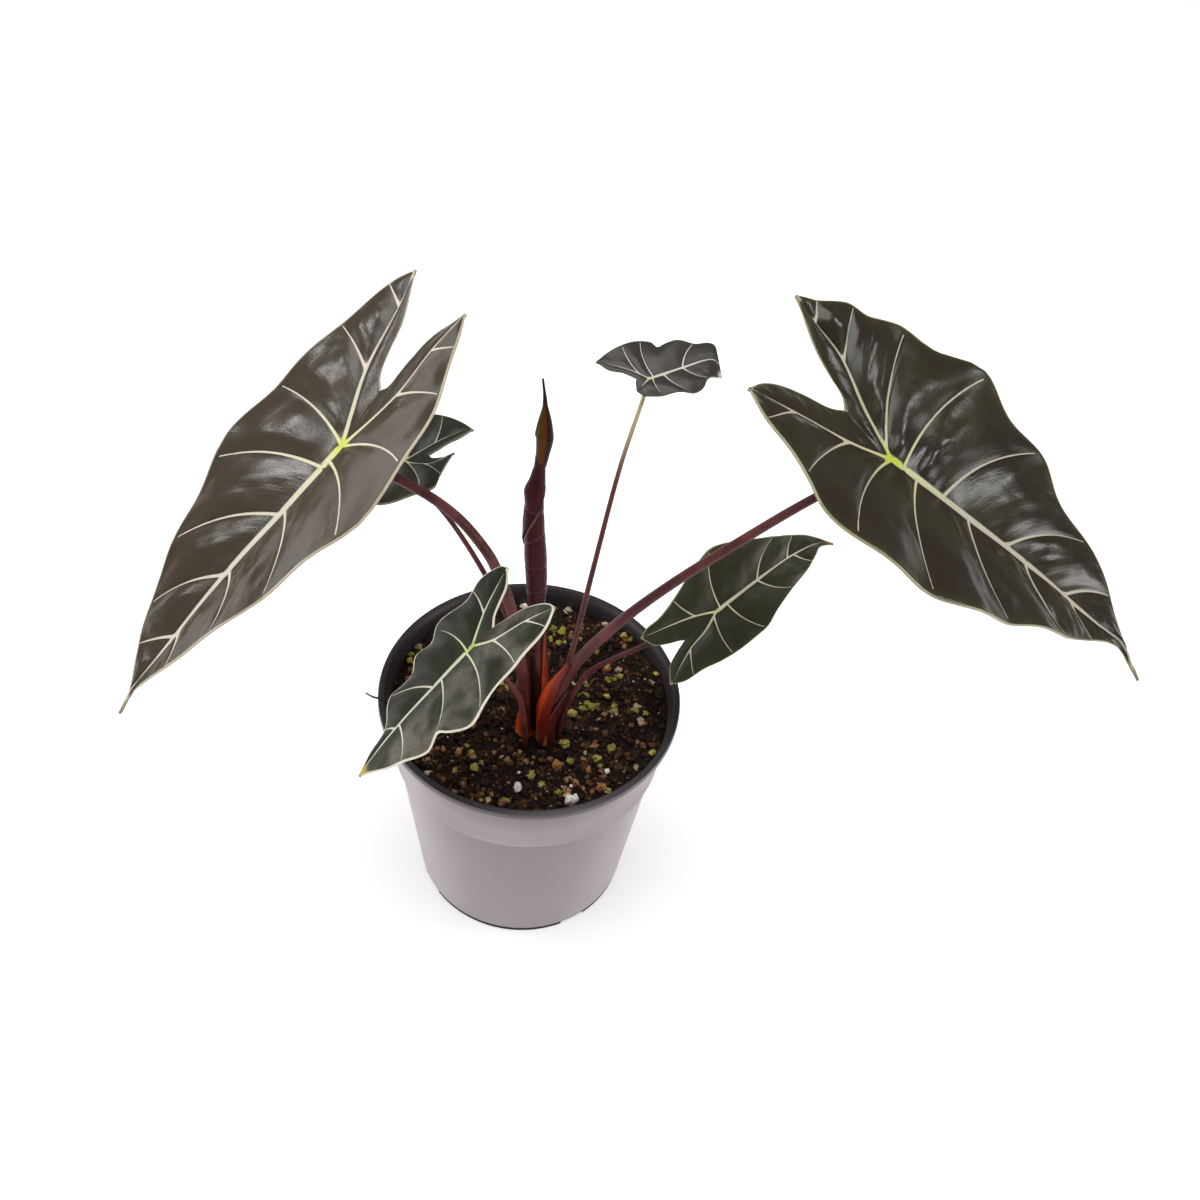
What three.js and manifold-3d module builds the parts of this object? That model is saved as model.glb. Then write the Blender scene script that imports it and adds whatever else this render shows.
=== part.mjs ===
// A young aroid with arrow-shaped, pale-veined leaves, growing in a round nursery pot.
// Millimetres, +Z up. The origin is the centre of the pot's flat base.

import * as THREE from "three";
import { mergeVertices } from "three/addons/utils/BufferGeometryUtils.js";
import Module from "manifold-3d";

const wasm = await Module();
wasm.setup();

// Driving dimensions
const CLEARANCE = 0.3;

const POT = {
  height: 108.4,
  rimRadius: 60,
  lipWidth: 2.8,
  lipHeight: 3.2,
  lipRounding: 0.5,
  bandTopRadius: 57.6,
  bandBottomRadius: 54.9,
  bandBottomHeight: 79.7,
  wallTopRadius: 53.6,
  baseRadius: 44.9,
  wallThickness: 1.4,
  floorThickness: 1.8,
  notchCount: 4,
  notchWidth: 11,
  notchDepth: 7,
  notchHeight: 2.3,
  firstNotchAngle: -54,
  segments: 64,
};

const SOIL = {
  level: 100.6,
  segments: 60,
  ringStep: 3.9,
  clodCount: 150,
  grainCount: 190,
  calmRadius: 15,
  seed: 20,
};

const RHIZOME = { centre: [6, -15.5], radius: 10.2, footRadius: 7, bottom: 82, top: 96 };

// Ribs stand out of the lower face, and by the share ribOnTop out of the upper one. They lose the
// share ribTaper of their height towards the tip, and the veins are veinShare as high. Swelling is
// the share swellAtEnds beyond the last veins, and swellInside between a side rib and the sinus.
const BLADE = {
  thickness: 0.8,
  ribHeight: 0.75,
  ribOnTop: 0.2,
  ribTaper: 0.75,
  veinShare: 0.45,
  creaseWidth: 2,
  swellAtEnds: 0.4,
  swellInside: 0.3,
  approach: 6,
};

// How a blade is divided: fractions of the way from rib to margin, steps along the ribs, and how
// far the veins bow, as shares of their length
const LARGE = { across: [0, 0.08, 0.32, 0.56, 0.8, 1], step: 6.5, ribShare: 1 };
const SMALL = { across: [0, 0.12, 0.45, 0.75, 1], step: 4.5, ribShare: 0.7 };
const ACROSS_INNER = [0, 0.5, 1];
const BOW = { midrib: 0.13, sideRib: 0.1, atJunction: 0.35 };

const COLOURS = {
  pot: 0x8c8288,
  soil: 0x2a1d17,
  rhizome: 0x6b3f24,
  petiole: 0x5a2a2e,
  sheath: 0xa84518,
  furledLeaf: 0x4a2028,
  largeBlade: 0x403b36,
  smallBlade: 0x3a4038,
};

// The leaves. A blade lies in its own frame: a runs from the junction towards the tip, c to the
// leaf's left, n up from the upper face. Outer margins run from the tip to a lobe's end, inner
// ones from the sinus to a lobe's end. A vein starts at a distance along the midrib from the
// junction, or along the side rib where it is negative, and ends at a place on the margin.
const LEAVES = [
  {
    name: "left_large",
    junction: [-62.1, -20, 240.2],
    heading: 225,
    pitch: 36,
    roll: 9,
    fold: 0.3,
    bend: 0,
    swell: 1.5,
    wave: { height: 1.1, count: 4.5 },
    size: LARGE,
    midrib: [[0, 0], [28, -1], [55, -2], [90, -0.5], [102, 0.5], [109, 3.5]],
    left: {
      outer: [[109, 3.5], [102, 1.3], [93, 4], [78, 11.5], [61, 20.5], [45, 27.5], [29, 35], [14, 41.5],
        [3, 42.5], [-8, 41], [-24, 34], [-35, 25.5], [-46, 15.5], [-56.5, 4.5]],
      inner: [[-21.3, -3.2], [-24, -1.6], [-34, -2.1], [-46, -1.2], [-56.5, 4.5]],
      rib: [[0, 0], [-23.5, 5.5], [-42, 3.4], [-56.5, 4.5]],
      veins: [[78, [88, 6]], [53, [69, 16]], [27, [49, 26]], [6, [20, 39]], [0, [-10, 42]],
        [-24, [-33, 29]], [-42, [-47, 16]]],
    },
    right: {
      outer: [[109, 3.5], [102, -0.6], [96, -5], [82, -14.8], [66, -21.5], [47, -28.5], [31, -33.5],
        [14, -35.5], [-1, -34], [-14, -32.5], [-28, -30.5], [-42, -28], [-51, -25.6], [-57.5, -22.2]],
      inner: [[-21.3, -3.2], [-25, -7], [-32, -10], [-43, -13.7], [-57.5, -22.2]],
      rib: [[0, 0], [-10, -5.5], [-23.5, -12], [-46, -18], [-57.5, -22.2]],
      veins: [[80, [90, -9]], [55, [79, -16]], [29, [59, -24]], [9, [31, -33.5]], [0, [-1, -34]],
        [-26, [-29, -30]], [-49, [-49, -26]]],
    },
  },
  {
    name: "right_large",
    junction: [109.7, -10, 250.7],
    heading: -8,
    pitch: 31.6,
    roll: 10,
    fold: 0.26,
    bend: 0.0003,
    swell: 1.9,
    wave: { height: 1.7, count: 5 },
    size: LARGE,
    midrib: [[0, 0], [34, 1], [62, 2], [98, 2], [109, 2.5], [113.5, 0.5], [120.5, -6.5]],
    left: {
      outer: [[120.5, -6.5], [114, 2], [108, 7.2], [98, 15.6], [88, 20.5], [75, 27], [61, 31.5],
        [50, 37.5], [37.5, 42], [22, 47], [14, 47.6], [-0.6, 44], [-16, 41.2], [-28, 36.6], [-36, 36.3],
        [-45.6, 29.8], [-53, 26]],
      inner: [[-21.4, 4], [-24, 7.5], [-30.5, 10.5], [-39, 15], [-48, 22], [-53, 26]],
      rib: [[0, 0], [-15, 8], [-30, 18], [-44.4, 22.6], [-53, 26]],
      veins: [[80, [99, 13.5]], [51, [82, 23.5]], [22, [50, 37.5]], [5, [20, 47.3]], [-3, [-15, 42]],
        [-34, [-34, 37]], [-49, [-46, 29.5]]],
    },
    right: {
      outer: [[120.5, -6.5], [112, -0.2], [105, -1.2], [92, -9.5], [78, -19], [65, -25], [53, -32.5],
        [37.5, -41], [22.5, -46.5], [13, -48.2], [-1.5, -49.5], [-13, -49], [-24, -46], [-32, -39],
        [-40, -32], [-48, -26], [-56, -18]],
      inner: [[-21.4, 4], [-27, 1], [-36, -1.2], [-45, -5], [-51.5, -10.5], [-56, -18]],
      rib: [[0, 0], [-17.3, -7.5], [-38.5, -13], [-56, -18]],
      veins: [[84, [96, -7]], [61, [81, -17.5]], [34, [54, -32.5]], [11, [20, -47]], [0, [-12.5, -49]],
        [-19, [-33, -38.5]], [-41, [-48.5, -25.5]]],
    },
  },
  {
    name: "back_centre_small",
    junction: [32.4, 45, 231.4],
    heading: 15,
    pitch: 3,
    roll: 12,
    fold: 0.1,
    bend: 0,
    swell: 0.9,
    size: SMALL,
    wave: { height: 1, count: 2.5 },
    droops: [{ at: [-7, -8], radius: 9, depth: 2.5 }, { at: [32, 3], radius: 10, depth: 4 }],
    midrib: [[0, 0], [13.5, 5], [23, 8.3], [26.6, 8], [28, 3]],
    left: {
      outer: [[28, 3], [27.6, 6], [27.2, 10], [27.2, 14.5], [25.7, 16.4], [19.3, 15.6], [13, 16.4],
        [8.7, 15.3], [5.4, 14.1], [3.4, 16.8], [-1.5, 17], [-8, 14.5], [-13.6, 11.4], [-18, 7.6]],
      inner: [[-4.6, 0.4], [-8.7, 2.8], [-14, 4.2], [-18, 7.6]],
      rib: [[0, 0], [-4, 2.6], [-9, 4.9], [-18, 7.6]],
      veins: [[14, [19, 15.8]], [2, [-0.5, 16.8]], [-3.5, [-8, 14.5]]],
    },
    right: {
      outer: [[28, 3], [26, 1.9], [22, 0], [19, -4.4], [15.1, -6.4], [8, -6.9], [4.7, -7.4], [0.3, -7.8],
        [-2.8, -7], [-4.8, -4.6]],
      inner: [[-4.6, 0.4], [-5, -1.6], [-4.8, -4.6]],
      rib: [[0, 0], [-1.6, -1.6], [-3.2, -3.2], [-4.8, -4.6]],
      veins: [[14, [22, 0]], [6, [15, -6.3]], [1.5, [4, -7.4]]],
    },
  },
  {
    name: "back_left_small",
    junction: [-52.2, 25, 198.3],
    heading: 188,
    pitch: 18,
    roll: 0,
    fold: 0.12,
    bend: 0.001,
    swell: 0.9,
    size: SMALL,
    wave: { height: 0.9, count: 3 },
    midrib: [[0, 0], [20, 0.5], [44, -1]],
    left: {
      outer: [[44, -1], [35, 6], [24, 14], [13, 20.5], [5, 23], [-5, 23.3], [-12.4, 21.5], [-14.3, 13.5],
        [-16, 8.5], [-19, 1.5]],
      inner: [[-9.4, -0.3], [-11, 2.2], [-15.6, 2.8], [-19, 1.5]],
      rib: [[0, 0], [-5, 3.4], [-11, 5.2], [-19, 1.5]],
      veins: [[17, [29, 10.5]], [4, [9, 22]], [-1, [-8, 23]], [-9, [-14.5, 13]]],
    },
    right: {
      outer: [[44, -1], [35, -8], [24, -14.5], [12, -19.5], [0, -21.5], [-9.7, -20.5], [-17.5, -17],
        [-22.5, -13], [-26.2, -8.5]],
      inner: [[-9.4, -0.3], [-12.4, -1.9], [-16.7, -4.3], [-21.4, -6], [-26.2, -8.5]],
      rib: [[0, 0], [-11.4, -5.5], [-21, -8.6], [-26.2, -8.5]],
      veins: [[17, [29, -12]], [5, [12, -19.5]], [-1, [-3, -21.3]], [-13, [-15, -18.4]]],
    },
  },
  {
    name: "front_left_small",
    junction: [-16.1, -50, 186.8],
    heading: 222,
    pitch: 38,
    roll: 17,
    fold: 0.05,
    bend: 0.0005,
    swell: 1,
    size: SMALL,
    wave: { height: 1.1, count: 5 },
    midrib: [[0, 0], [19, -1], [40, -2], [58, -1]],
    left: {
      outer: [[58, -1], [50.7, 5.4], [41.7, 13], [33, 17.8], [26.4, 17], [22.5, 21.5], [15, 25.8],
        [7.3, 25.8], [-0.6, 22.3], [-9, 23.5], [-17, 22.6], [-24, 21], [-29, 18]],
      inner: [[-9.3, 1.5], [-15.4, 4], [-21.2, 6.8], [-25.6, 10.6], [-28.4, 14.5], [-29, 18]],
      rib: [[0, 0], [-7, 6.2], [-19, 11.8], [-29, 18]],
      veins: [[36, [42, 12.8]], [15, [27, 17.2]], [3, [10, 26]], [-9, [-8, 23.4]], [-22.5, [-23, 21.3]]],
    },
    right: {
      outer: [[58, -1], [51, -3.2], [45.4, -4.6], [40, -7.4], [35.7, -11.7], [32, -14.3], [26.5, -14.7],
        [21.5, -14.1], [17, -17.3], [11.5, -17.4], [6, -20.7], [0, -19.3], [-8, -18.6], [-17, -19.6],
        [-24.2, -17.2], [-26, -13.7]],
      inner: [[-9.3, 1.5], [-12.3, -2.5], [-16.5, -5], [-21.7, -8], [-26, -13.7]],
      rib: [[0, 0], [-10.2, -7], [-19, -11], [-26, -13.7]],
      veins: [[38, [42, -6.3]], [19, [33.5, -13.8]], [2.5, [7, -20.6]], [-12, [-12, -18.9]]],
    },
  },
  {
    name: "right_small",
    junction: [68, 12, 152.2],
    heading: 38,
    pitch: -20,
    roll: 40,
    fold: 0.12,
    bend: 0.001,
    swell: 1,
    size: SMALL,
    wave: { height: 0.8, count: 3.5 },
    midrib: [[0, 0], [20, 0.6], [36, 0.4], [49.5, -2], [54, -5.8]],
    left: {
      outer: [[54, -5.8], [50.3, -0.6], [46, 4], [35.7, 10.3], [27.9, 14.3], [16.3, 20], [10.3, 21.3],
        [3.9, 19.8], [-3.8, 16.6], [-13.4, 12.8], [-20.3, 10.8], [-26.4, 10.2], [-29.8, 8.4]],
      inner: [[-16.5, -2], [-18.6, -0.8], [-23.3, 1], [-27.3, 3.4], [-29.8, 8.4]],
      rib: [[0, 0], [-7.6, 3.2], [-18, 6], [-29.8, 8.4]],
      veins: [[35, [42, 6.8]], [20, [35, 10.5]], [2, [10.4, 21.3]], [-8.5, [-12, 13.3]]],
    },
    right: {
      outer: [[54, -5.8], [49, -3.6], [45, -5.4], [39.4, -7.6], [30.5, -10], [20, -13], [13.5, -16],
        [8.8, -16.6], [0, -16.9], [-8.9, -16.4], [-16.6, -15], [-25, -14.6], [-30.5, -12.4]],
      inner: [[-16.5, -2], [-22.2, -4.2], [-26.8, -6.8], [-30.5, -12.4]],
      rib: [[0, 0], [-8, -3.6], [-16.5, -5.8], [-30.5, -12.4]],
      veins: [[38, [43, -6.2]], [20, [31, -9.8]], [5, [12.8, -16.2]], [-2, [-4.3, -16.7]],
        [-17.5, [-21.5, -14.7]]],
    },
  },
];

// Leaf stalks, from the soil up. Each leaves the soil upright at its foot and meets the underside
// of its blade square on. Radii are given at the foot, half way and at the blade.
const PETIOLES = [
  {
    leaf: "left_large",
    foot: [0.2, -16.6],
    radii: [2.3, 2, 1.45],
    path: [[-1.5, -16.9, 130], [-6.6, -17.2, 169], [-13.5, -17.8, 193.5], [-18.4, -18.1, 203.4],
      [-25.4, -18.5, 213.6], [-32.8, -18.8, 220.8], [-40.5, -19.1, 226.2]],
  },
  {
    leaf: "right_large",
    foot: [8, -19.2],
    radii: [2.7, 1.8, 1.4],
    path: [[9.2, -19, 119], [16.5, -17.2, 144.6], [28.7, -16.2, 166.2], [45.7, -14.9, 188.4],
      [67.9, -13.2, 212.4], [89.5, -11.6, 234]],
  },
  {
    leaf: "back_centre_small",
    foot: [11.3, -11.5],
    radii: [1.4, 1, 0.75],
    path: [[13, -7.6, 124], [16, -0.9, 142.4], [20.1, 12.1, 169.6], [25.7, 29.4, 203.4]],
  },
  {
    leaf: "back_left_small",
    foot: [-0.2, -9.8],
    radii: [1.2, 1.05, 0.85],
    path: [[-3.6, -6.4, 128], [-9, -1.5, 146.7], [-19.4, 5.9, 164], [-33.8, 15, 181]],
  },
  {
    leaf: "front_left_small",
    foot: [0.6, -22],
    radii: [1.25, 1.05, 0.8],
    path: [[0.4, -23.6, 112], [-1.3, -31.5, 139.8], [-5.6, -38.4, 158]],
  },
  {
    leaf: "right_small",
    foot: [13.2, -16.2],
    radii: [1.15, 1.05, 0.9],
    path: [[14.2, -14.2, 113], [21.4, -6.6, 128.6], [31, -2.2, 134.6], [43.3, 3.4, 138.8]],
  },
];

// The unopened leaf, rolled into a spike on its own stalk. Widths are radii along the spike.
const FURLED = {
  foot: [5.2, -12.2],
  stalkRadii: [2.65, 2.55, 2.3],
  stalkPath: [[3.8, -11.8, 128], [2.2, -10.6, 149.5], [1.4, -9.2, 162]],
  path: [[1.4, -9.2, 162.3], [0.4, -8, 178], [-0.8, -6.9, 192], [-1.8, -5.3, 207.7], [-1.6, -4, 220.9],
    [-0.2, -2.8, 233.8], [0, -2.1, 239.9], [-0.5, -0.9, 251.8], [-1.7, 0, 260]],
  radii: [[0, 2.9], [0.12, 3.5], [0.28, 4.1], [0.45, 3.7], [0.58, 2.9], [0.66, 2.1], [0.73, 2.4],
    [0.79, 2.9], [0.85, 2.2], [0.91, 1.1], [0.96, 0.6], [1, 0.45]],
  wrapStep: 0.2,
  wrapTurns: 2.2,
  ringDepth: 0.07,
  ringCount: 8,
  sides: 14,
  steps: 34,
};

// Dry sheaths at the foot of the stalks. Angles are about the stalk, 0 towards the front and
// positive to the right; from and to are distances up the stalk from the soil's surface.
const SHEATHS = [
  { name: "sheath_right_large", of: "right_large", angle: -62, spread: 150, from: 3, to: 47 },
  { name: "sheath_furled", of: "furled", angle: 70, spread: 120, from: 3.4, to: 54 },
  { name: "sheath_left_large", of: "left_large", angle: -10, spread: 130, from: 3, to: 22 },
];
const SHEATH = { thickness: 0.8, flare: 0.7, narrowing: 0.86 };

// Mesh helpers

function closed(geometry) {
  // Merge shared corners and drop the empty triangles left at poles and tips
  const bare = new THREE.BufferGeometry();
  bare.setAttribute("position", geometry.getAttribute("position"));
  bare.setIndex(geometry.getIndex());
  const merged = mergeVertices(bare, 1e-4);
  const corners = merged.getIndex().array;
  const kept = [];
  for (let i = 0; i < corners.length; i += 3) {
    const [p, q, r] = [corners[i], corners[i + 1], corners[i + 2]];
    if (p !== q && q !== r && r !== p) kept.push(p, q, r);
  }
  merged.setIndex(kept);
  return merged;
}

function solidOf(geometry) {
  const mesh = closed(geometry);
  return new wasm.Manifold(new wasm.Mesh({
    numProp: 3,
    vertProperties: new Float32Array(mesh.getAttribute("position").array),
    triVerts: new Uint32Array(mesh.getIndex().array),
  }));
}

function geometryOf(solid) {
  const mesh = solid.getMesh();
  const geometry = new THREE.BufferGeometry();
  geometry.setAttribute("position", new THREE.BufferAttribute(new Float32Array(mesh.vertProperties), 3));
  geometry.setIndex(Array.from(mesh.triVerts));
  return geometry;
}

function lathe(profile, segments) {
  const geometry = new THREE.LatheGeometry(profile.map(([r, z]) => new THREE.Vector2(r, z)), segments);
  geometry.rotateX(Math.PI / 2);
  return geometry;
}

function seededRandom(seed) {
  let state = seed;
  return () => {
    state = (state * 1664525 + 1013904223) % 4294967296;
    return state / 4294967296;
  };
}

function smoothCurve(points) {
  // A smooth line through points of any dimension, read by the distance along its chords
  const at = [0];
  for (let i = 1; i < points.length; i += 1) {
    at.push(at[i - 1] + Math.hypot(...points[i].map((value, k) => value - points[i - 1][k])));
  }
  const last = points.length - 1;
  const slopes = points.map((point, i) => {
    const before = Math.max(i - 1, 0);
    const after = Math.min(i + 1, last);
    return point.map((_, k) => (points[after][k] - points[before][k]) / (at[after] - at[before]));
  });
  function read(distance) {
    const s = Math.min(Math.max(distance, 0), at[last]);
    let i = 0;
    while (i < last - 1 && s > at[i + 1]) i += 1;
    const span = at[i + 1] - at[i];
    const t = (s - at[i]) / span;
    const toNext = 3 * t ** 2 - 2 * t ** 3;
    const leaving = span * (t ** 3 - 2 * t ** 2 + t);
    const arriving = span * (t ** 3 - t ** 2);
    return points[i].map((value, k) => (
      value + toNext * (points[i + 1][k] - value) + leaving * slopes[i][k] + arriving * slopes[i + 1][k]
    ));
  }
  return { length: at[last], read };
}

function between(table, x) {
  // Straight-line reading of a table of [x, value] rows in rising x
  let i = 0;
  while (i < table.length - 2 && x > table[i + 1][0]) i += 1;
  const [x0, v0] = table[i];
  const [x1, v1] = table[i + 1];
  return v0 + (v1 - v0) * Math.min(Math.max((x - x0) / (x1 - x0), 0), 1);
}

function leafFrame(leaf) {
  // Turns the leaf's own axes, tip, left and up, into the plant's
  const heading = new THREE.Matrix4().makeRotationZ(THREE.MathUtils.degToRad(leaf.heading));
  const pitch = new THREE.Matrix4().makeRotationY(THREE.MathUtils.degToRad(leaf.pitch));
  const roll = new THREE.Matrix4().makeRotationX(THREE.MathUtils.degToRad(leaf.roll));
  return heading.multiply(pitch).multiply(roll).setPosition(...leaf.junction);
}

// Blade of an open leaf

function nearestDistance(curve, place) {
  const trials = 600;
  let best = 0;
  let least = Infinity;
  for (let i = 0; i <= trials; i += 1) {
    const s = (curve.length * i) / trials;
    const [a, c] = curve.read(s);
    const gap = Math.hypot(a - place[0], c - place[1]);
    if (gap < least) {
      least = gap;
      best = s;
    }
  }
  return best;
}

function sideOf(leaf, side) {
  // One half of the blade: its curves, and where each vein leaves the spine and meets the margin
  const shape = leaf[side];
  const outer = smoothCurve(shape.outer);
  const rib = smoothCurve(shape.rib);
  const midribLength = smoothCurve(leaf.midrib).length;
  const veins = shape.veins.map(([start, end]) => [start, nearestDistance(outer, end)]);
  const stations = [[midribLength, 0], ...veins, [-rib.length, outer.length]].reverse();
  return { outer, inner: smoothCurve(shape.inner), rib, stations, sign: side === "left" ? 1 : -1 };
}

function filled(stops, step) {
  // The stops in rising order, with even steps added where they lie far apart
  const sorted = [...stops].sort((p, q) => p - q);
  const rows = [sorted[0]];
  for (const stop of sorted.slice(1)) {
    const from = rows[rows.length - 1];
    if (stop - from < 0.5) continue;
    const parts = Math.max(1, Math.round((stop - from) / step));
    for (let k = 1; k <= parts; k += 1) rows.push(from + ((stop - from) * k) / parts);
  }
  return rows;
}

function bladeRelief(leaf, half, start, across) {
  // Swelling between the veins, and the waved margin
  const stations = half.stations;
  let i = 0;
  while (i < stations.length - 2 && start > stations[i + 1][0]) i += 1;
  const part = (start - stations[i][0]) / (stations[i + 1][0] - stations[i][0]);
  const atEnd = i === 0 || i === stations.length - 2;
  const most = leaf.swell * (atEnd ? BLADE.swellAtEnds : 1);
  const swell = most * Math.sin(Math.PI * part) * Math.sin(Math.PI * across);
  const along = between(stations, start) / half.outer.length;
  const fade = Math.sin(Math.PI * Math.min(Math.max(along, 0.02), 0.98));
  const turn = 2 * Math.PI * leaf.wave.count * along + half.sign;
  return swell + leaf.wave.height * fade * across ** 3 * Math.sin(turn);
}

function bladeHeight(leaf, a, c) {
  // The blade's overall fold, bend and drooping parts
  let height = leaf.fold * (Math.hypot(c, BLADE.creaseWidth) - BLADE.creaseWidth) - leaf.bend * a * a;
  for (const droop of leaf.droops ?? []) {
    const reach = Math.max(0, 1 - Math.hypot(a - droop.at[0], c - droop.at[1]) / droop.radius);
    height -= droop.depth * reach * reach * (3 - 2 * reach);
  }
  return height;
}

function bladeGeometry(leaf) {
  const { across, step, ribShare } = leaf.size;
  const midrib = smoothCurve(leaf.midrib);
  const halves = [sideOf(leaf, "left"), sideOf(leaf, "right")];
  const nodes = [];
  const triangles = [];
  const index = new Map();

  function node(a, c, relief, rib) {
    const key = `${a.toFixed(3)},${c.toFixed(3)}`;
    if (!index.has(key)) {
      index.set(key, nodes.length);
      nodes.push({ a, c, n: bladeHeight(leaf, a, c) + relief, rib });
    }
    return index.get(key);
  }

  function strip(grid, upward) {
    for (let i = 0; i < grid.length - 1; i += 1) {
      for (let j = 0; j < grid[i].length - 1; j += 1) {
        const [p, q, r, s] = [grid[i][j], grid[i + 1][j], grid[i + 1][j + 1], grid[i][j + 1]];
        for (const corners of [[p, q, r], [p, r, s]]) {
          if (new Set(corners).size < 3) continue;
          triangles.push(upward ? corners : [corners[0], corners[2], corners[1]]);
        }
      }
    }
  }

  const starts = (half) => half.stations.map(([start]) => start);
  const midribRows = filled([0, ...halves.flatMap(starts).filter((start) => start > 0)], step);
  for (const half of halves) {
    const ribRows = filled([...starts(half).filter((start) => start < 0), 0], step);
    const rows = [...ribRows.slice(0, -1), ...midribRows];
    const outerGrid = rows.map((start) => {
      const onMidrib = start >= 0;
      const foot = onMidrib ? midrib.read(start) : half.rib.read(-start);
      const end = half.outer.read(between(half.stations, start));
      const fromJunction = onMidrib ? start / midrib.length : -start / half.rib.length;
      const rib = ribShare * BLADE.ribHeight * (1 - BLADE.ribTaper * fromJunction);
      const onVein = half.stations.some(([station]) => Math.abs(station - start) < 1e-6);
      const phase = BOW.atJunction + (1 - BOW.atJunction) * fromJunction;
      const bow = onMidrib ? BOW.midrib * Math.sin(Math.PI * phase) : BOW.sideRib * (1 - fromJunction);
      const [da, dc] = [end[0] - foot[0], end[1] - foot[1]];
      const middle = [foot[0] + da / 2 - half.sign * bow * dc, foot[1] + dc / 2 + half.sign * bow * da];
      return across.map((w) => {
        const weights = [(1 - w) ** 2, 2 * w * (1 - w), w ** 2];
        const a = weights[0] * foot[0] + weights[1] * middle[0] + weights[2] * end[0];
        const c = weights[0] * foot[1] + weights[1] * middle[1] + weights[2] * end[1];
        if (w === 0) return node(a, c, 0, rib);
        const ridge = onVein ? BLADE.veinShare * rib * (1 - w) : 0;
        return node(a, c, bladeRelief(leaf, half, start, w), ridge);
      });
    });
    strip(outerGrid, half.sign < 0);
    const innerGrid = ribRows.map((start) => {
      const foot = half.rib.read(-start);
      const end = half.inner.read((half.inner.length * -start) / half.rib.length);
      return ACROSS_INNER.map((w) => {
        const a = foot[0] + (end[0] - foot[0]) * w;
        const c = foot[1] + (end[1] - foot[1]) * w;
        return node(a, c, BLADE.swellInside * leaf.swell * Math.sin(Math.PI * w), 0);
      });
    });
    strip(innerGrid, half.sign > 0);
  }
  return thickened(nodes, triangles, leafFrame(leaf));
}

function thickened(nodes, triangles, frame) {
  // Give the blade's middle surface its thickness, with ribs raised on both faces
  const normals = nodes.map(() => new THREE.Vector3());
  const places = nodes.map(({ a, c, n }) => new THREE.Vector3(a, c, n));
  for (const corners of triangles) {
    const [p, q, r] = corners.map((corner) => places[corner]);
    const face = new THREE.Vector3().crossVectors(q.clone().sub(p), r.clone().sub(p));
    for (const corner of corners) normals[corner].add(face);
  }
  const positions = [];
  for (const side of [1, -1]) {
    nodes.forEach(({ rib }, i) => {
      const raise = BLADE.thickness / 2 + rib * (side > 0 ? BLADE.ribOnTop : 1);
      const place = places[i].clone().addScaledVector(normals[i].clone().normalize(), side * raise);
      positions.push(...place.applyMatrix4(frame).toArray());
    });
  }
  const count = nodes.length;
  const index = [];
  const edges = new Map();
  for (const [p, q, r] of triangles) {
    index.push(p, q, r, p + count, r + count, q + count);
    for (const [from, to] of [[p, q], [q, r], [r, p]]) {
      if (edges.has(`${to},${from}`)) edges.delete(`${to},${from}`);
      else edges.set(`${from},${to}`, [from, to]);
    }
  }
  for (const [from, to] of edges.values()) {
    index.push(from, from + count, to, to, from + count, to + count);
  }
  const geometry = new THREE.BufferGeometry();
  geometry.setAttribute("position", new THREE.Float32BufferAttribute(positions, 3));
  geometry.setIndex(index);
  return geometry;
}

// Stalks, the furled leaf and the sheaths follow a centre line

function centreLine(points, startNormal, endNormal) {
  const curve = smoothCurve(points);
  const tiny = 0.2;
  function frame(distance) {
    const here = new THREE.Vector3(...curve.read(distance));
    const tangent = new THREE.Vector3(...curve.read(distance + tiny))
      .sub(new THREE.Vector3(...curve.read(distance - tiny))).normalize();
    if (distance <= 0 && startNormal) tangent.copy(startNormal);
    if (distance >= curve.length && endNormal) tangent.copy(endNormal);
    const front = new THREE.Vector3(0, -1, 0);
    front.addScaledVector(tangent, -front.dot(tangent)).normalize();
    const right = new THREE.Vector3().crossVectors(tangent, front);
    return { here, front, right };
  }
  return { length: curve.length, frame };
}

function roundAlong(line, radiusAt, sides, steps) {
  // A capped cylinder bent along the line, its radius a function of distance and angle
  const geometry = new THREE.CylinderGeometry(1, 1, 1, sides, steps);
  const position = geometry.getAttribute("position");
  for (let i = 0; i < position.count; i += 1) {
    const distance = line.length * (position.getY(i) + 0.5);
    const { here, front, right } = line.frame(distance);
    const angle = Math.atan2(position.getX(i), position.getZ(i));
    const reach = Math.hypot(position.getX(i), position.getZ(i)) * radiusAt(distance, angle);
    here.addScaledVector(front, reach * Math.cos(angle)).addScaledVector(right, reach * Math.sin(angle));
    position.setXYZ(i, here.x, here.y, here.z);
  }
  return closed(geometry);
}

function shellAlong(line, sheath, radiusAt) {
  // A thin curved shell that hugs the line on one side and narrows to its upper end
  const geometry = new THREE.BoxGeometry(1, 1, 1, 6, 10, 1);
  const position = geometry.getAttribute("position");
  for (let i = 0; i < position.count; i += 1) {
    const up = position.getY(i) + 0.5;
    const distance = sheath.from + (sheath.to - sheath.from) * up;
    const { here, front, right } = line.frame(distance);
    const spread = sheath.spread * (1 - SHEATH.narrowing * up ** 1.6);
    const angle = THREE.MathUtils.degToRad(sheath.angle + spread * position.getX(i));
    const flare = SHEATH.flare * (1 - up) * (2 * Math.abs(position.getX(i))) ** 4;
    const outward = SHEATH.thickness * (position.getZ(i) + 0.5);
    const reach = radiusAt(distance) + CLEARANCE + flare + outward;
    here.addScaledVector(front, reach * Math.cos(angle)).addScaledVector(right, reach * Math.sin(angle));
    position.setXYZ(i, here.x, here.y, here.z);
  }
  return closed(geometry);
}

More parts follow.
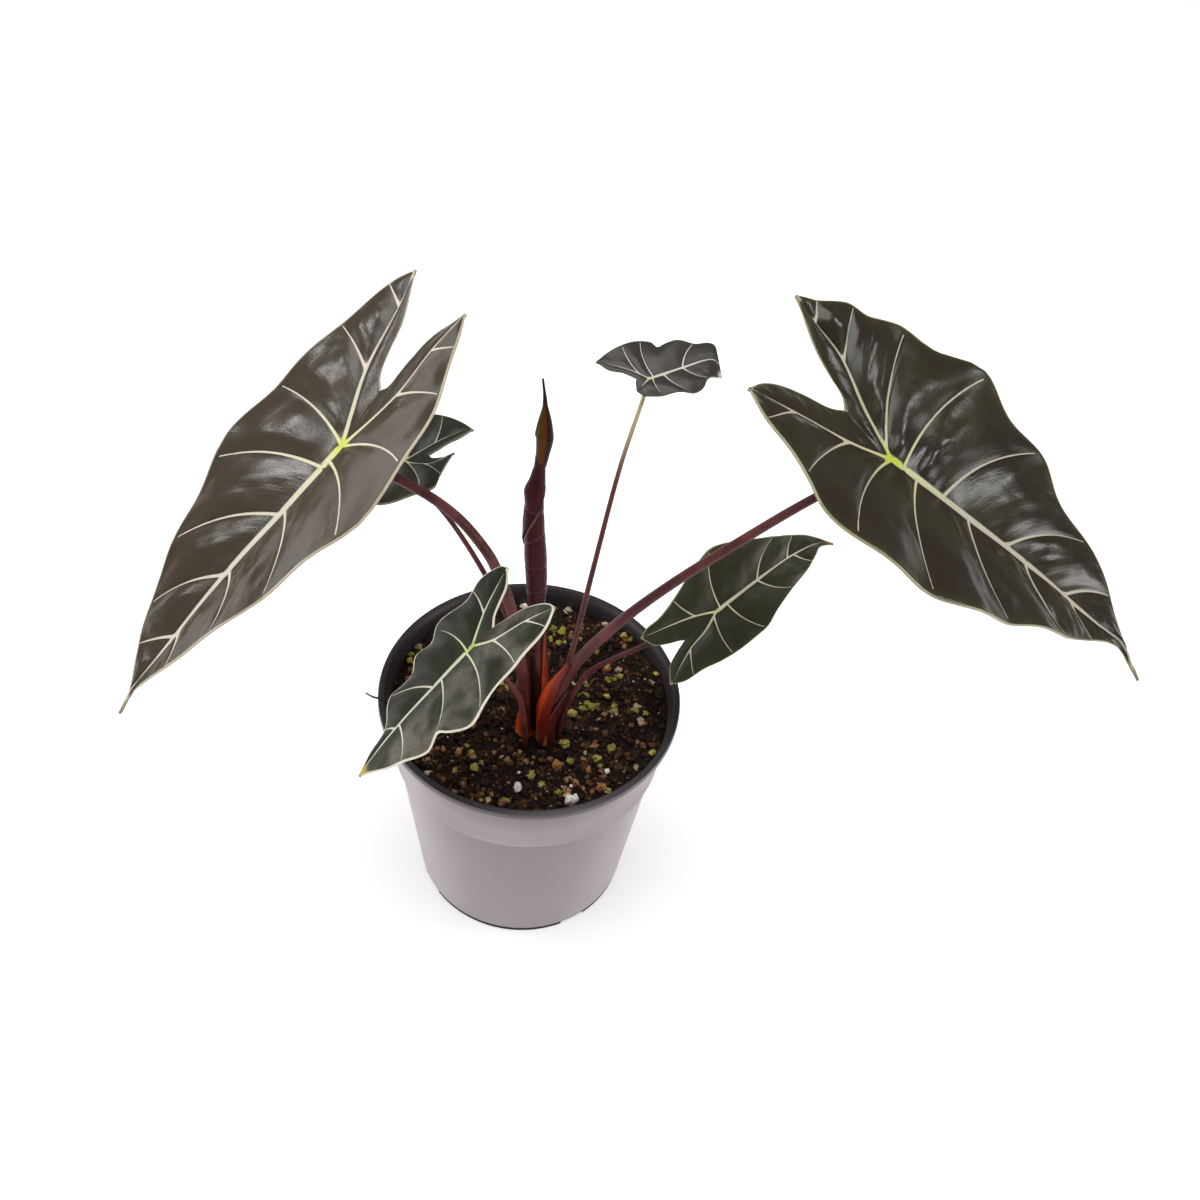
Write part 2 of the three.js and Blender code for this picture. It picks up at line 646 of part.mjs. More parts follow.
function stalkLine(foot, path, endPlace, endNormal) {
  const footHeight = RHIZOME.top + CLEARANCE;
  const points = [[...foot, footHeight], [...foot, SOIL.level], ...path];
  if (endPlace) points.push(endPlace);
  return centreLine(points, new THREE.Vector3(0, 0, 1), endNormal);
}

function stalkRadius(line, [atFoot, halfWay, atEnd]) {
  return (distance) => between([[0, atFoot], [line.length / 2, halfWay], [line.length, atEnd]], distance);
}

function petioleParts(petiole) {
  const leaf = LEAVES.find(({ name }) => name === petiole.leaf);
  const frame = leafFrame(leaf);
  const normal = new THREE.Vector3().setFromMatrixColumn(frame, 2);
  const ribDepth = BLADE.ribHeight * leaf.size.ribShare;
  const seat = BLADE.thickness / 2 + ribDepth + CLEARANCE;
  const junction = new THREE.Vector3(...leaf.junction);
  const approach = junction.clone().addScaledVector(normal, -BLADE.approach).toArray();
  const end = junction.clone().addScaledVector(normal, -seat).toArray();
  const line = stalkLine(petiole.foot, [...petiole.path, approach], end, normal);
  return { line, radiusAt: stalkRadius(line, petiole.radii) };
}

function furledStalkParts() {
  const path = FURLED.stalkPath;
  const line = stalkLine(FURLED.foot, path.slice(0, -1), path[path.length - 1], new THREE.Vector3(0, 0, 1));
  return { line, radiusAt: stalkRadius(line, FURLED.stalkRadii) };
}

function furledLeafGeometry() {
  // Rolled up blade: the free edge winds round it as a low step, and the veins show as rings
  const line = centreLine(FURLED.path, new THREE.Vector3(0, 0, 1));
  function radiusAt(distance, angle) {
    const up = distance / line.length;
    const turn = ((angle / (2 * Math.PI) - FURLED.wrapTurns * up) % 1 + 1) % 1;
    const body = between(FURLED.radii, up);
    const wrapped = 1 + FURLED.wrapStep * (turn - 0.5) * Math.min(1, 4 * up, 12 * (1 - up));
    const ring = 1 - FURLED.ringDepth * Math.cos(2 * Math.PI * FURLED.ringCount * up + angle) ** 8;
    return body * wrapped * ring;
  }
  return roundAlong(line, radiusAt, FURLED.sides, FURLED.steps);
}

// Pot

function potGeometry() {
  const p = POT;
  const lipBottom = p.height - p.lipHeight;
  const inner = p.wallThickness;
  const profile = [
    [0, 0], [p.baseRadius, 0], [p.wallTopRadius, p.bandBottomHeight],
    [p.bandBottomRadius, p.bandBottomHeight], [p.bandTopRadius, lipBottom],
    [p.rimRadius, lipBottom + p.lipRounding], [p.rimRadius, p.height - p.lipRounding],
    [p.rimRadius - p.lipRounding, p.height], [p.rimRadius - p.lipWidth, p.height],
    [p.bandTopRadius - inner, lipBottom - 1], [p.bandBottomRadius - inner, p.bandBottomHeight + 1],
    [p.wallTopRadius - inner, p.bandBottomHeight - 1], [p.baseRadius - inner, p.floorThickness],
    [0, p.floorThickness],
  ];
  let pot = solidOf(lathe(profile, p.segments));
  for (let k = 0; k < p.notchCount; k += 1) {
    const notch = new THREE.BoxGeometry(p.notchDepth, p.notchWidth, 2 * p.notchHeight);
    notch.translate(p.baseRadius + 1 - p.notchDepth / 2, 0, 0);
    notch.rotateZ(THREE.MathUtils.degToRad(p.firstNotchAngle + (360 * k) / p.notchCount));
    pot = pot.subtract(solidOf(notch));
  }
  return geometryOf(pot);
}

// Soil, with clods and grains raised on its surface

function soilBumps() {
  const random = seededRandom(SOIL.seed);
  const bumps = [];
  const reach = POT.bandTopRadius - POT.wallThickness;
  for (let k = 0; k < SOIL.clodCount + SOIL.grainCount; k += 1) {
    const isClod = k < SOIL.clodCount;
    const angle = 2 * Math.PI * random();
    const distance = reach * Math.sqrt(random());
    bumps.push({
      x: distance * Math.cos(angle),
      y: distance * Math.sin(angle),
      radius: isClod ? 5 + 5 * random() : 3 + 1.8 * random(),
      height: isClod ? 0.5 + 1.1 * random() : 0.7 + 0.9 * random(),
    });
  }
  return bumps;
}

function soilHeight(bumps, x, y) {
  const fromStems = Math.hypot(x - RHIZOME.centre[0], y - RHIZOME.centre[1]);
  const calm = Math.min(1, Math.max(0.15, (fromStems - 9) / SOIL.calmRadius));
  let height = 0;
  for (const bump of bumps) {
    const near = 1 - ((x - bump.x) ** 2 + (y - bump.y) ** 2) / bump.radius ** 2;
    if (near > 0) height = Math.max(height, bump.height * near) + 0.25 * bump.height * near;
  }
  const rolling = 0.7 * Math.sin(x / 17 + 1) * Math.cos(y / 21);
  return SOIL.level + calm * (rolling + Math.min(height, 3) - 0.8);
}

function soilInnerRadius(z) {
  const inner = POT.wallThickness + CLEARANCE;
  return between([
    [0, POT.baseRadius - inner], [POT.bandBottomHeight - 1, POT.wallTopRadius - inner],
    [POT.bandBottomHeight + 1, POT.bandBottomRadius - inner],
    [POT.height - POT.lipHeight, POT.bandTopRadius - inner],
  ], z);
}

function soilGeometry(stalks) {
  const bottom = POT.floorThickness + CLEARANCE;
  const edge = soilInnerRadius(SOIL.level - 1.5);
  const rings = Math.round(edge / SOIL.ringStep);
  const profile = [
    [0, bottom], [soilInnerRadius(bottom) - 0.2, bottom],
    [soilInnerRadius(POT.bandBottomHeight - 1) - 0.1, POT.bandBottomHeight - 1],
    [soilInnerRadius(POT.bandBottomHeight + 1) - 0.1, POT.bandBottomHeight + 1],
  ];
  for (let k = rings; k >= 0; k -= 1) profile.push([(edge * k) / rings, SOIL.level]);
  const geometry = lathe(profile, SOIL.segments);
  const position = geometry.getAttribute("position");
  const bumps = soilBumps();
  for (let i = 0; i < position.count; i += 1) {
    if (position.getZ(i) < SOIL.level - 0.01) continue;
    position.setZ(i, soilHeight(bumps, position.getX(i), position.getY(i)));
  }
  let soil = solidOf(geometry);
  const socket = lathe([
    [0, RHIZOME.bottom - CLEARANCE], [RHIZOME.radius + CLEARANCE, RHIZOME.bottom - CLEARANCE],
    [RHIZOME.radius + CLEARANCE, RHIZOME.top + CLEARANCE], [0, RHIZOME.top + CLEARANCE],
  ], 24);
  socket.translate(...RHIZOME.centre, 0);
  soil = soil.subtract(solidOf(socket));
  for (const { line, radiusAt } of stalks) {
    const foot = line.frame(0).here;
    const hole = new THREE.CylinderGeometry(radiusAt(0) + CLEARANCE, radiusAt(0) + CLEARANCE, 14, 12);
    hole.rotateX(Math.PI / 2);
    hole.translate(foot.x, foot.y, RHIZOME.top + 6);
    soil = soil.subtract(solidOf(hole));
  }
  return geometryOf(soil);
}

function rhizomeGeometry() {
  const { radius, footRadius, bottom, top } = RHIZOME;
  const middle = (bottom + top) / 2;
  const profile = [[0, bottom], [footRadius, bottom], [radius, middle], [radius, top], [0, top]];
  const geometry = lathe(profile, 20);
  geometry.translate(...RHIZOME.centre, 0);
  return geometry;
}

// The plant in its pot

const group = new THREE.Group();

function add(name, geometry, colour, roughness) {
  const shape = closed(geometry);
  shape.computeVertexNormals();
  const material = new THREE.MeshStandardMaterial({ color: colour, roughness, metalness: 0 });
  const mesh = new THREE.Mesh(shape, material);
  mesh.name = name;
  group.add(mesh);
}

const furledStalk = furledStalkParts();
const stalks = new Map(PETIOLES.map((petiole) => [petiole.leaf, petioleParts(petiole)]));
stalks.set("furled", furledStalk);

add("pot", potGeometry(), COLOURS.pot, 0.55);
add("soil", soilGeometry([...stalks.values()]), COLOURS.soil, 0.95);
add("rhizome", rhizomeGeometry(), COLOURS.rhizome, 0.8);
for (const [name, { line, radiusAt }] of stalks) {
  const steps = Math.round(line.length / 9);
  const sides = radiusAt(0) > 2 ? 10 : 8;
  add(`petiole_${name}`, roundAlong(line, radiusAt, sides, steps), COLOURS.petiole, 0.45);
}
for (const leaf of LEAVES) {
  const colour = leaf.size === LARGE ? COLOURS.largeBlade : COLOURS.smallBlade;
  add(`blade_${leaf.name}`, bladeGeometry(leaf), colour, 0.35);
}
add("furled_leaf", furledLeafGeometry(), COLOURS.furledLeaf, 0.4);
for (const sheath of SHEATHS) {
  const { line, radiusAt } = stalks.get(sheath.of);
  const fromSoil = SOIL.level - RHIZOME.top - CLEARANCE;
  const placed = { ...sheath, from: sheath.from + fromSoil, to: sheath.to + fromSoil };
  add(sheath.name, shellAlong(line, placed, radiusAt), COLOURS.sheath, 0.5);
}

export default group;
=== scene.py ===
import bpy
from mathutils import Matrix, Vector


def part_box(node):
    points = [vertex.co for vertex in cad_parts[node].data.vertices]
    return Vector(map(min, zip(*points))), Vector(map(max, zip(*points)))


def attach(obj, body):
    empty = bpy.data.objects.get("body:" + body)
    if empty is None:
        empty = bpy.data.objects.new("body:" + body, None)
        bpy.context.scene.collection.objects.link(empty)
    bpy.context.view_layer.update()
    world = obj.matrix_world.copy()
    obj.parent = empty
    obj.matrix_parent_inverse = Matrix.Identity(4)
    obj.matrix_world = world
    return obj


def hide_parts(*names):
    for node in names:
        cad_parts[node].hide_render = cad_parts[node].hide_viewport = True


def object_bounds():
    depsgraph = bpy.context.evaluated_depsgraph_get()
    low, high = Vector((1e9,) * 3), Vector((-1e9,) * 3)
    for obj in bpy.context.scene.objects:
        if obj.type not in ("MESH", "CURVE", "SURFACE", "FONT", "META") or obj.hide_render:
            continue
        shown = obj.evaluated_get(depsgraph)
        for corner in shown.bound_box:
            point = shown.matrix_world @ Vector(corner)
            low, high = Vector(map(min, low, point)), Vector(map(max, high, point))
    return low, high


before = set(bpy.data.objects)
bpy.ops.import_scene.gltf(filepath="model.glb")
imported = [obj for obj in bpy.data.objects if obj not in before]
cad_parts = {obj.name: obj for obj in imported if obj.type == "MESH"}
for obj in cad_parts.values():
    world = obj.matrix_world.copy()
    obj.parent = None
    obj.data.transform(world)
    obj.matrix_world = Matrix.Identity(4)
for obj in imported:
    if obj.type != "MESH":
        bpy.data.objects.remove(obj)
SOLID_BOX = [list(corner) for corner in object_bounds()]

import math
import random

import bmesh
import bpy
from bpy.props import FloatProperty, FloatVectorProperty, IntProperty, PointerProperty
from mathutils import Matrix, Vector, kdtree, noise

bl_info = {
    "name": "Potted young aroid",
    "version": (1, 0, 0),
    "blender": (4, 5, 0),
    "location": "3D View > Sidebar > Aroid",
    "description": "Builds a young aroid with pale-veined arrow leaves in its nursery pot",
    "category": "Add Mesh",
}

# Lengths below are in millimetres unless a name says otherwise
MM = 0.001
# Corners nearer than this are joined where a seam closes
MERGE = 0.001
SHEET_MERGE = 0.002

# The camera that took the picture: a pinhole over a square frame
CAMERA = {
    "place": (23.62, -332.55, 505.83),
    "elevation": 45.81,
    "roll": 6.22,
    "focal_pixels": 1300,
    "frame_pixels": 1200,
    "sensor": 36,
}

# Soft lights: places and sizes in metres, each with the setting that holds its power
LIGHTS = [
    {"name": "overhead", "setting": "overhead", "place": (0.0, 0.0, 1.5), "size": (1.2, 1.2)},
    {"name": "left_soft", "setting": "left", "place": (-0.91, -0.03, 1.16), "size": (0.26, 0.22)},
    {"name": "right_soft", "setting": "right", "place": (1.0, 0.0, 0.95), "size": (0.3, 0.22)},
]
LIGHT_TARGET = (0, 0, 0.15)

# Pot, as in the solid model; its height and rim come from the frame
POT = {
    "lip_width": 2.8,
    "lip_height": 3.2,
    "band_top_radius": 57.6,
    "band_bottom_radius": 54.9,
    "band_bottom_height": 79.7,
    "wall_top_radius": 53.6,
    "base_radius": 44.9,
    "wall": 1.4,
    "floor": 1.8,
    "notch_count": 4,
    "notch_width": 11,
    "notch_depth": 7,
    "notch_height": 2.3,
    "first_notch_angle": -54,
    # Height of a corner of the foot's profile; faces below it get a near-black material, painted shade under
    # the foot's chamfer
    "foot_line": 2.5,
    "notch_edge_angle": 40,
}

# Soil as in the solid model, then the finer relief that is added to it; clods and grains have a
# radius and a rise, each with its least and its spread
SOIL = {
    "level": 100.6,
    "clod_count": 150,
    "grain_count": 190,
    "clod_size": [(5, 5), (0.5, 1.1)],
    "grain_size": [(3, 1.8), (0.7, 0.9)],
    "calm_from": 9,
    "calm_radius": 15,
    "calm_least": 0.15,
    "stem_centre": (6, -15.5),
    "seed": 20,
    "rolling": 0.7,
    "most_rise": 3,
    "sink": 0.8,
    "crumb_relief": 1.25,
    "crumb_scale": 0.35,
    "rings": 78,
    "steps": 220,
    "wall_gap": 0.15,
    "edge_top": 105.2,
    "loose_level": 100,
}

# Loose bits on the soil: random seed, sizes (least, spread, power or a range), how deep they are
# dented, and the size over which they get more faces
LOOSE = {
    "crumbs": {"seed": 5, "size": (0.7, 2.6, 2.2), "dents": 0.7, "fine_over": 2},
    "granules": {"seed": 11, "size": (1.1, 3), "dents": 0.85, "fine_over": 1.8},
    "perlite": {"seed": 3, "size": (0.35, 0.9, 3), "dents": 0.6, "fine_over": 1.8, "count": 150},
    "fibres": {"seed": 8, "length": (4, 10), "radius": (0.15, 0.38)},
}
# A third of the fibres lie together at the left
FIBRE_PATCH = {"share": 3, "x": -42, "spread": 7, "y": (-22, 18)}
# The dark fibre that hooks over the rim at the left
RIM_FIBRE = {
    "path": [(-49, -14, 102), (-53, -13.6, 105.5), (-57, -13.2, 109), (-60, -13, 109.2),
             (-63.5, -11.5, 109.6)],
    "radius": 0.8,
}

# What all blades share, with the sheet's rows beside veins and the samples along veins
BLADE = {
    "thickness": 0.8,
    "small_share": 0.7,
    "beside_vein": 0.6,
    "sample_gap": 0.12,
    "vein_samples": 240,
    "rib_height": 0.75,
    "rib_on_top": 0.2,
    "rib_taper": 0.75,
    "vein_share": 0.45,
    "crease_width": 2,
    "swell_at_ends": 0.4,
    "swell_inside": 0.3,
    "approach": 6,
}
# How far rows bow from straight, as a share of their length; more than in the solid model
BOW = {"midrib": 0.19, "side_rib": 0.14, "at_junction": 0.35}

# Each blade lies in its own frame: a runs from the junction to the tip, c to the leaf's left and n
# up. Outer margins run from tip to lobe end, inner ones from the sinus to lobe end. A vein starts at
# a distance along the midrib, or along the side rib where negative, and ends on the margin.
LEAVES = [
    {
        "name": "left_large",
        "junction": (-62.1, -20, 240.2),
        "turns": (225, 36, 9),
        "fold": 0.3,
        "bend": 0,
        "swell": 1.5,
        "wave": (1.1, 4.5),
        "large": True,
        "midrib": [(0, 0), (28, -1), (55, -2), (90, -0.5), (102, 0.5), (109, 3.5)],
        "left": {
            "outer": [(109, 3.5), (102, 1.3), (93, 4), (78, 11.5), (61, 20.5), (45, 27.5), (29, 35),
                      (14, 41.5), (3, 42.5), (-8, 41), (-24, 34), (-35, 25.5), (-46, 15.5),
                      (-56.5, 4.5)],
            "inner": [(-21.3, -3.2), (-24, -1.6), (-34, -2.1), (-46, -1.2), (-56.5, 4.5)],
            "rib": [(0, 0), (-23.5, 5.5), (-42, 3.4), (-56.5, 4.5)],
            "veins": [(78, (88, 6)), (53, (69, 16)), (27, (49, 26)), (6, (20, 39)), (0, (-10, 42)),
                      (-24, (-33, 29)), (-42, (-47, 16))],
        },
        "right": {
            "outer": [(109, 3.5), (102, -0.6), (96, -5), (82, -14.8), (66, -21.5), (47, -28.5),
                      (31, -33.5), (14, -35.5), (-1, -34), (-14, -32.5), (-28, -30.5), (-42, -28),
                      (-51, -25.6), (-57.5, -22.2)],
            "inner": [(-21.3, -3.2), (-25, -7), (-32, -10), (-43, -13.7), (-57.5, -22.2)],
            "rib": [(0, 0), (-10, -5.5), (-23.5, -12), (-46, -18), (-57.5, -22.2)],
            "veins": [(80, (90, -9)), (55, (79, -16)), (29, (59, -24)), (9, (31, -33.5)),
                      (0, (-1, -34)), (-26, (-29, -30)), (-49, (-49, -26))],
        },
    },
    {
        "name": "right_large",
        "junction": (109.7, -10, 250.7),
        "turns": (-8, 31.6, 10),
        "fold": 0.26,
        "bend": 0.0003,
        "swell": 2.5,
        "wave": (1.7, 5),
        "large": True,
        "midrib": [(0, 0), (34, 1), (62, 2), (98, 2), (109, 2.5), (113.5, 0.5), (120.5, -6.5)],
        "left": {
            "outer": [(120.5, -6.5), (114, 2), (108, 7.2), (98, 15.6), (88, 20.5), (75, 27), (61, 31.5),
                      (50, 37.5), (37.5, 42), (22, 47), (14, 47.6), (-0.6, 44), (-16, 41.2),
                      (-28, 36.6), (-36, 36.3), (-45.6, 29.8), (-53, 26)],
            "inner": [(-21.4, 4), (-24, 7.5), (-30.5, 10.5), (-39, 15), (-48, 22), (-53, 26)],
            "rib": [(0, 0), (-15, 8), (-30, 18), (-44.4, 22.6), (-53, 26)],
            "veins": [(80, (99, 13.5)), (51, (82, 23.5)), (22, (50, 37.5)), (5, (20, 47.3)),
                      (-3, (-15, 42)), (-34, (-34, 37)), (-49, (-46, 29.5))],
        },
        "right": {
            "outer": [(120.5, -6.5), (112, -0.2), (105, -1.2), (92, -9.5), (78, -19), (65, -25),
                      (53, -32.5), (37.5, -41), (22.5, -46.5), (13, -48.2), (-1.5, -49.5), (-13, -49),
                      (-24, -46), (-32, -39), (-40, -32), (-48, -26), (-56, -18)],
            "inner": [(-21.4, 4), (-27, 1), (-36, -1.2), (-45, -5), (-51.5, -10.5), (-56, -18)],
            "rib": [(0, 0), (-17.3, -7.5), (-38.5, -13), (-56, -18)],
            "veins": [(84, (96, -7)), (61, (81, -17.5)), (34, (54, -32.5)), (11, (20, -47)),
                      (0, (-12.5, -49)), (-19, (-33, -38.5)), (-41, (-48.5, -25.5))],
        },
    },
    {
        "name": "back_centre_small",
        "junction": (32.4, 45, 231.4),
        "turns": (15, 3, 12),
        "fold": 0.1,
        "bend": 0,
        "swell": 0.9,
        "wave": (1, 2.5),
        "large": False,
        "droops": [((-7, -8), 9, 2.5), ((32, 3), 10, 4)],
        "midrib": [(0, 0), (13.5, 5), (23, 8.3), (26.6, 8), (28, 3)],
        "left": {
            "outer": [(28, 3), (27.6, 6), (27.2, 10), (27.2, 14.5), (25.7, 16.4), (19.3, 15.6),
                      (13, 16.4), (8.7, 15.3), (5.4, 14.1), (3.4, 16.8), (-1.5, 17), (-8, 14.5),
                      (-13.6, 11.4), (-18, 7.6)],
            "inner": [(-4.6, 0.4), (-8.7, 2.8), (-14, 4.2), (-18, 7.6)],
            "rib": [(0, 0), (-4, 2.6), (-9, 4.9), (-18, 7.6)],
            "veins": [(14, (19, 15.8)), (2, (-0.5, 16.8)), (-3.5, (-8, 14.5))],
        },
        "right": {
            "outer": [(28, 3), (26, 1.9), (22, 0), (19, -4.4), (15.1, -6.4), (8, -6.9), (4.7, -7.4),
                      (0.3, -7.8), (-2.8, -7), (-4.8, -4.6)],
            "inner": [(-4.6, 0.4), (-5, -1.6), (-4.8, -4.6)],
            "rib": [(0, 0), (-1.6, -1.6), (-3.2, -3.2), (-4.8, -4.6)],
            "veins": [(14, (22, 0)), (6, (15, -6.3)), (1.5, (4, -7.4))],
        },
    },
    {
        "name": "back_left_small",
        "junction": (-52.2, 25, 198.3),
        "turns": (188, 18, 0),
        "fold": 0.12,
        "bend": 0.001,
        "swell": 0.9,
        "wave": (0.9, 3),
        "large": False,
        "midrib": [(0, 0), (20, 0.5), (44, -1)],
        "left": {
            "outer": [(44, -1), (35, 6), (24, 14), (13, 20.5), (5, 23), (-5, 23.3), (-12.4, 21.5),
                      (-14.3, 13.5), (-16, 8.5), (-19, 1.5)],
            "inner": [(-9.4, -0.3), (-11, 2.2), (-15.6, 2.8), (-19, 1.5)],
            "rib": [(0, 0), (-5, 3.4), (-11, 5.2), (-19, 1.5)],
            "veins": [(17, (29, 10.5)), (4, (9, 22)), (-1, (-8, 23)), (-9, (-14.5, 13))],
        },
        "right": {
            "outer": [(44, -1), (35, -8), (24, -14.5), (12, -19.5), (0, -21.5), (-9.7, -20.5),
                      (-17.5, -17), (-22.5, -13), (-26.2, -8.5)],
            "inner": [(-9.4, -0.3), (-12.4, -1.9), (-16.7, -4.3), (-21.4, -6), (-26.2, -8.5)],
            "rib": [(0, 0), (-11.4, -5.5), (-21, -8.6), (-26.2, -8.5)],
            "veins": [(17, (29, -12)), (5, (12, -19.5)), (-1, (-3, -21.3)), (-13, (-15, -18.4))],
        },
    },
    {
        "name": "front_left_small",
        "junction": (-16.1, -50, 186.8),
        "turns": (222, 38, 17),
        "fold": 0.05,
        "bend": 0.0005,
        "swell": 1,
        "wave": (1.1, 5),
        "large": False,
        "midrib": [(0, 0), (19, -1), (40, -2), (58, -1)],
        "left": {
            "outer": [(58, -1), (50.7, 5.4), (41.7, 13), (33, 17.8), (26.4, 17), (22.5, 21.5),
                      (15, 25.8), (7.3, 25.8), (-0.6, 22.3), (-9, 23.5), (-17, 22.6), (-24, 21),
                      (-29, 18)],
            "inner": [(-9.3, 1.5), (-15.4, 4), (-21.2, 6.8), (-25.6, 10.6), (-28.4, 14.5), (-29, 18)],
            "rib": [(0, 0), (-7, 6.2), (-19, 11.8), (-29, 18)],
            "veins": [(36, (42, 12.8)), (15, (27, 17.2)), (3, (10, 26)), (-9, (-8, 23.4)),
                      (-22.5, (-23, 21.3))],
        },
        "right": {
            "outer": [(58, -1), (51, -3.2), (45.4, -4.6), (40, -7.4), (35.7, -11.7), (32, -14.3),
                      (26.5, -14.7), (21.5, -14.1), (17, -17.3), (11.5, -17.4), (6, -20.7),
                      (0, -19.3), (-8, -18.6), (-17, -19.6), (-24.2, -17.2), (-26, -13.7)],
            "inner": [(-9.3, 1.5), (-12.3, -2.5), (-16.5, -5), (-21.7, -8), (-26, -13.7)],
            "rib": [(0, 0), (-10.2, -7), (-19, -11), (-26, -13.7)],
            "veins": [(38, (42, -6.3)), (19, (33.5, -13.8)), (2.5, (7, -20.6)), (-12, (-12, -18.9))],
        },
    },
    {
        "name": "right_small",
        "junction": (68, 12, 152.2),
        "turns": (38, -20, 40),
        "fold": 0.12,
        "bend": 0.001,
        "swell": 1,
        "wave": (0.8, 3.5),
        "large": False,
        "midrib": [(0, 0), (20, 0.6), (36, 0.4), (49.5, -2), (54, -5.8)],
        "left": {
            "outer": [(54, -5.8), (50.3, -0.6), (46, 4), (35.7, 10.3), (27.9, 14.3), (16.3, 20),
                      (10.3, 21.3), (3.9, 19.8), (-3.8, 16.6), (-13.4, 12.8), (-20.3, 10.8),
                      (-26.4, 10.2), (-29.8, 8.4)],
            "inner": [(-16.5, -2), (-18.6, -0.8), (-23.3, 1), (-27.3, 3.4), (-29.8, 8.4)],
            "rib": [(0, 0), (-7.6, 3.2), (-18, 6), (-29.8, 8.4)],
            "veins": [(35, (42, 6.8)), (20, (35, 10.5)), (2, (10.4, 21.3)), (-8.5, (-12, 13.3))],
        },
        "right": {
            "outer": [(54, -5.8), (49, -3.6), (45, -5.4), (39.4, -7.6), (30.5, -10), (20, -13),
                      (13.5, -16), (8.8, -16.6), (0, -16.9), (-8.9, -16.4), (-16.6, -15), (-25, -14.6),
                      (-30.5, -12.4)],
            "inner": [(-16.5, -2), (-22.2, -4.2), (-26.8, -6.8), (-30.5, -12.4)],
            "rib": [(0, 0), (-8, -3.6), (-16.5, -5.8), (-30.5, -12.4)],
            "veins": [(38, (43, -6.2)), (20, (31, -9.8)), (5, (12.8, -16.2)), (-2, (-4.3, -16.7)),
                      (-17.5, (-21.5, -14.7))],
        },
    },
]

# What each blade's finish adds: tones, widths of its veins and margin, gloss, grain, puckers and
# crumples, each crumple with its place on the leaf, radius and depth
FINISHES = {
    "left_large": {
        "lamina": "3c342a", "edge": "3a3427", "vein": "cdc4b6", "near": "d2d0a6", "junction": "c6d060",
        "near_reach": 30, "margin": "b0a690", "tip": "8f9468", "tip_reach": 7, "midrib": 1.55,
        "side": 0.85, "vein_width": 0.6, "margin_width": 0.45, "roughness": 0.24, "pucker": 0.4,
        "grain": 0.25, "specular": 0.55,
        "wrinkle": 0.25, "crumples": [((-4, 2), 16, 0.7)],
    },
    "right_large": {
        "lamina": "241e17", "edge": "333119", "vein": "aeaa98", "near": "b9b98c", "junction": "adbb3c",
        "near_reach": 34, "margin": "8f8d6e", "tip": "6d6a58", "tip_reach": 6, "midrib": 1.65,
        "side": 0.85, "vein_width": 0.6, "margin_width": 0.4, "roughness": 0.22, "pucker": 0.45,
        "grain": 0.3, "specular": 0.45,
        "wrinkle": 0.45, "crumples": [((2, 9), 24, 1.9), ((-10, 3), 14, 1.4)],
    },
    "back_centre_small": {
        "lamina": "36322d", "edge": "2c2d21", "vein": "c9c2b8", "near": "c6c0ac", "junction": "c4bfa4",
        "near_reach": 8, "margin": "4a4a3c", "tip": "cbbfb4", "tip_reach": 2.5, "midrib": 0.7,
        "side": 0.4, "vein_width": 0.3, "margin_width": 0.3, "roughness": 0.36, "pucker": 0.25,
        "grain": 0.3, "specular": 0.35,
        "wrinkle": 0.2, "crumples": [],
    },
    "back_left_small": {
        "lamina": "21211a", "edge": "232516", "vein": "a3a194", "near": "a8a690", "junction": "a9b070",
        "near_reach": 8, "margin": "77765a", "tip": "8a8a6c", "tip_reach": 3, "midrib": 0.65,
        "side": 0.4, "vein_width": 0.3, "margin_width": 0.3, "roughness": 0.34, "pucker": 0.25,
        "grain": 0.3, "specular": 0.4,
        "wrinkle": 0.2, "crumples": [],
    },
    "front_left_small": {
        "lamina": "292c21", "edge": "282d1f", "vein": "d4d6c4", "near": "d0d8a8", "junction": "b5c87c",
        "near_reach": 14, "margin": "dcd9c6", "tip": "c2a64c", "tip_reach": 6, "midrib": 0.95,
        "side": 0.6, "vein_width": 0.42, "margin_width": 0.42, "roughness": 0.4, "pucker": 0.25,
        # This blade also gets a painted sheen: pale speckled patches on its left half, set by the last value
        # below
        "grain": 0.9, "specular": 0.3, "silver": 0.6,
        "wrinkle": 0.25, "crumples": [],
    },
    "right_small": {
        "lamina": "292a1b", "edge": "2e311c", "vein": "bcbca4", "near": "c6c8a4", "junction": "bcc48c",
        "near_reach": 10, "margin": "8c8e6c", "tip": "9a6238", "tip_reach": 3.6, "midrib": 0.85,
        "side": 0.5, "vein_width": 0.34, "margin_width": 0.35, "roughness": 0.38, "pucker": 0.3,
        "grain": 0.4, "specular": 0.4,
        "wrinkle": 0.25, "crumples": [],
    },
}

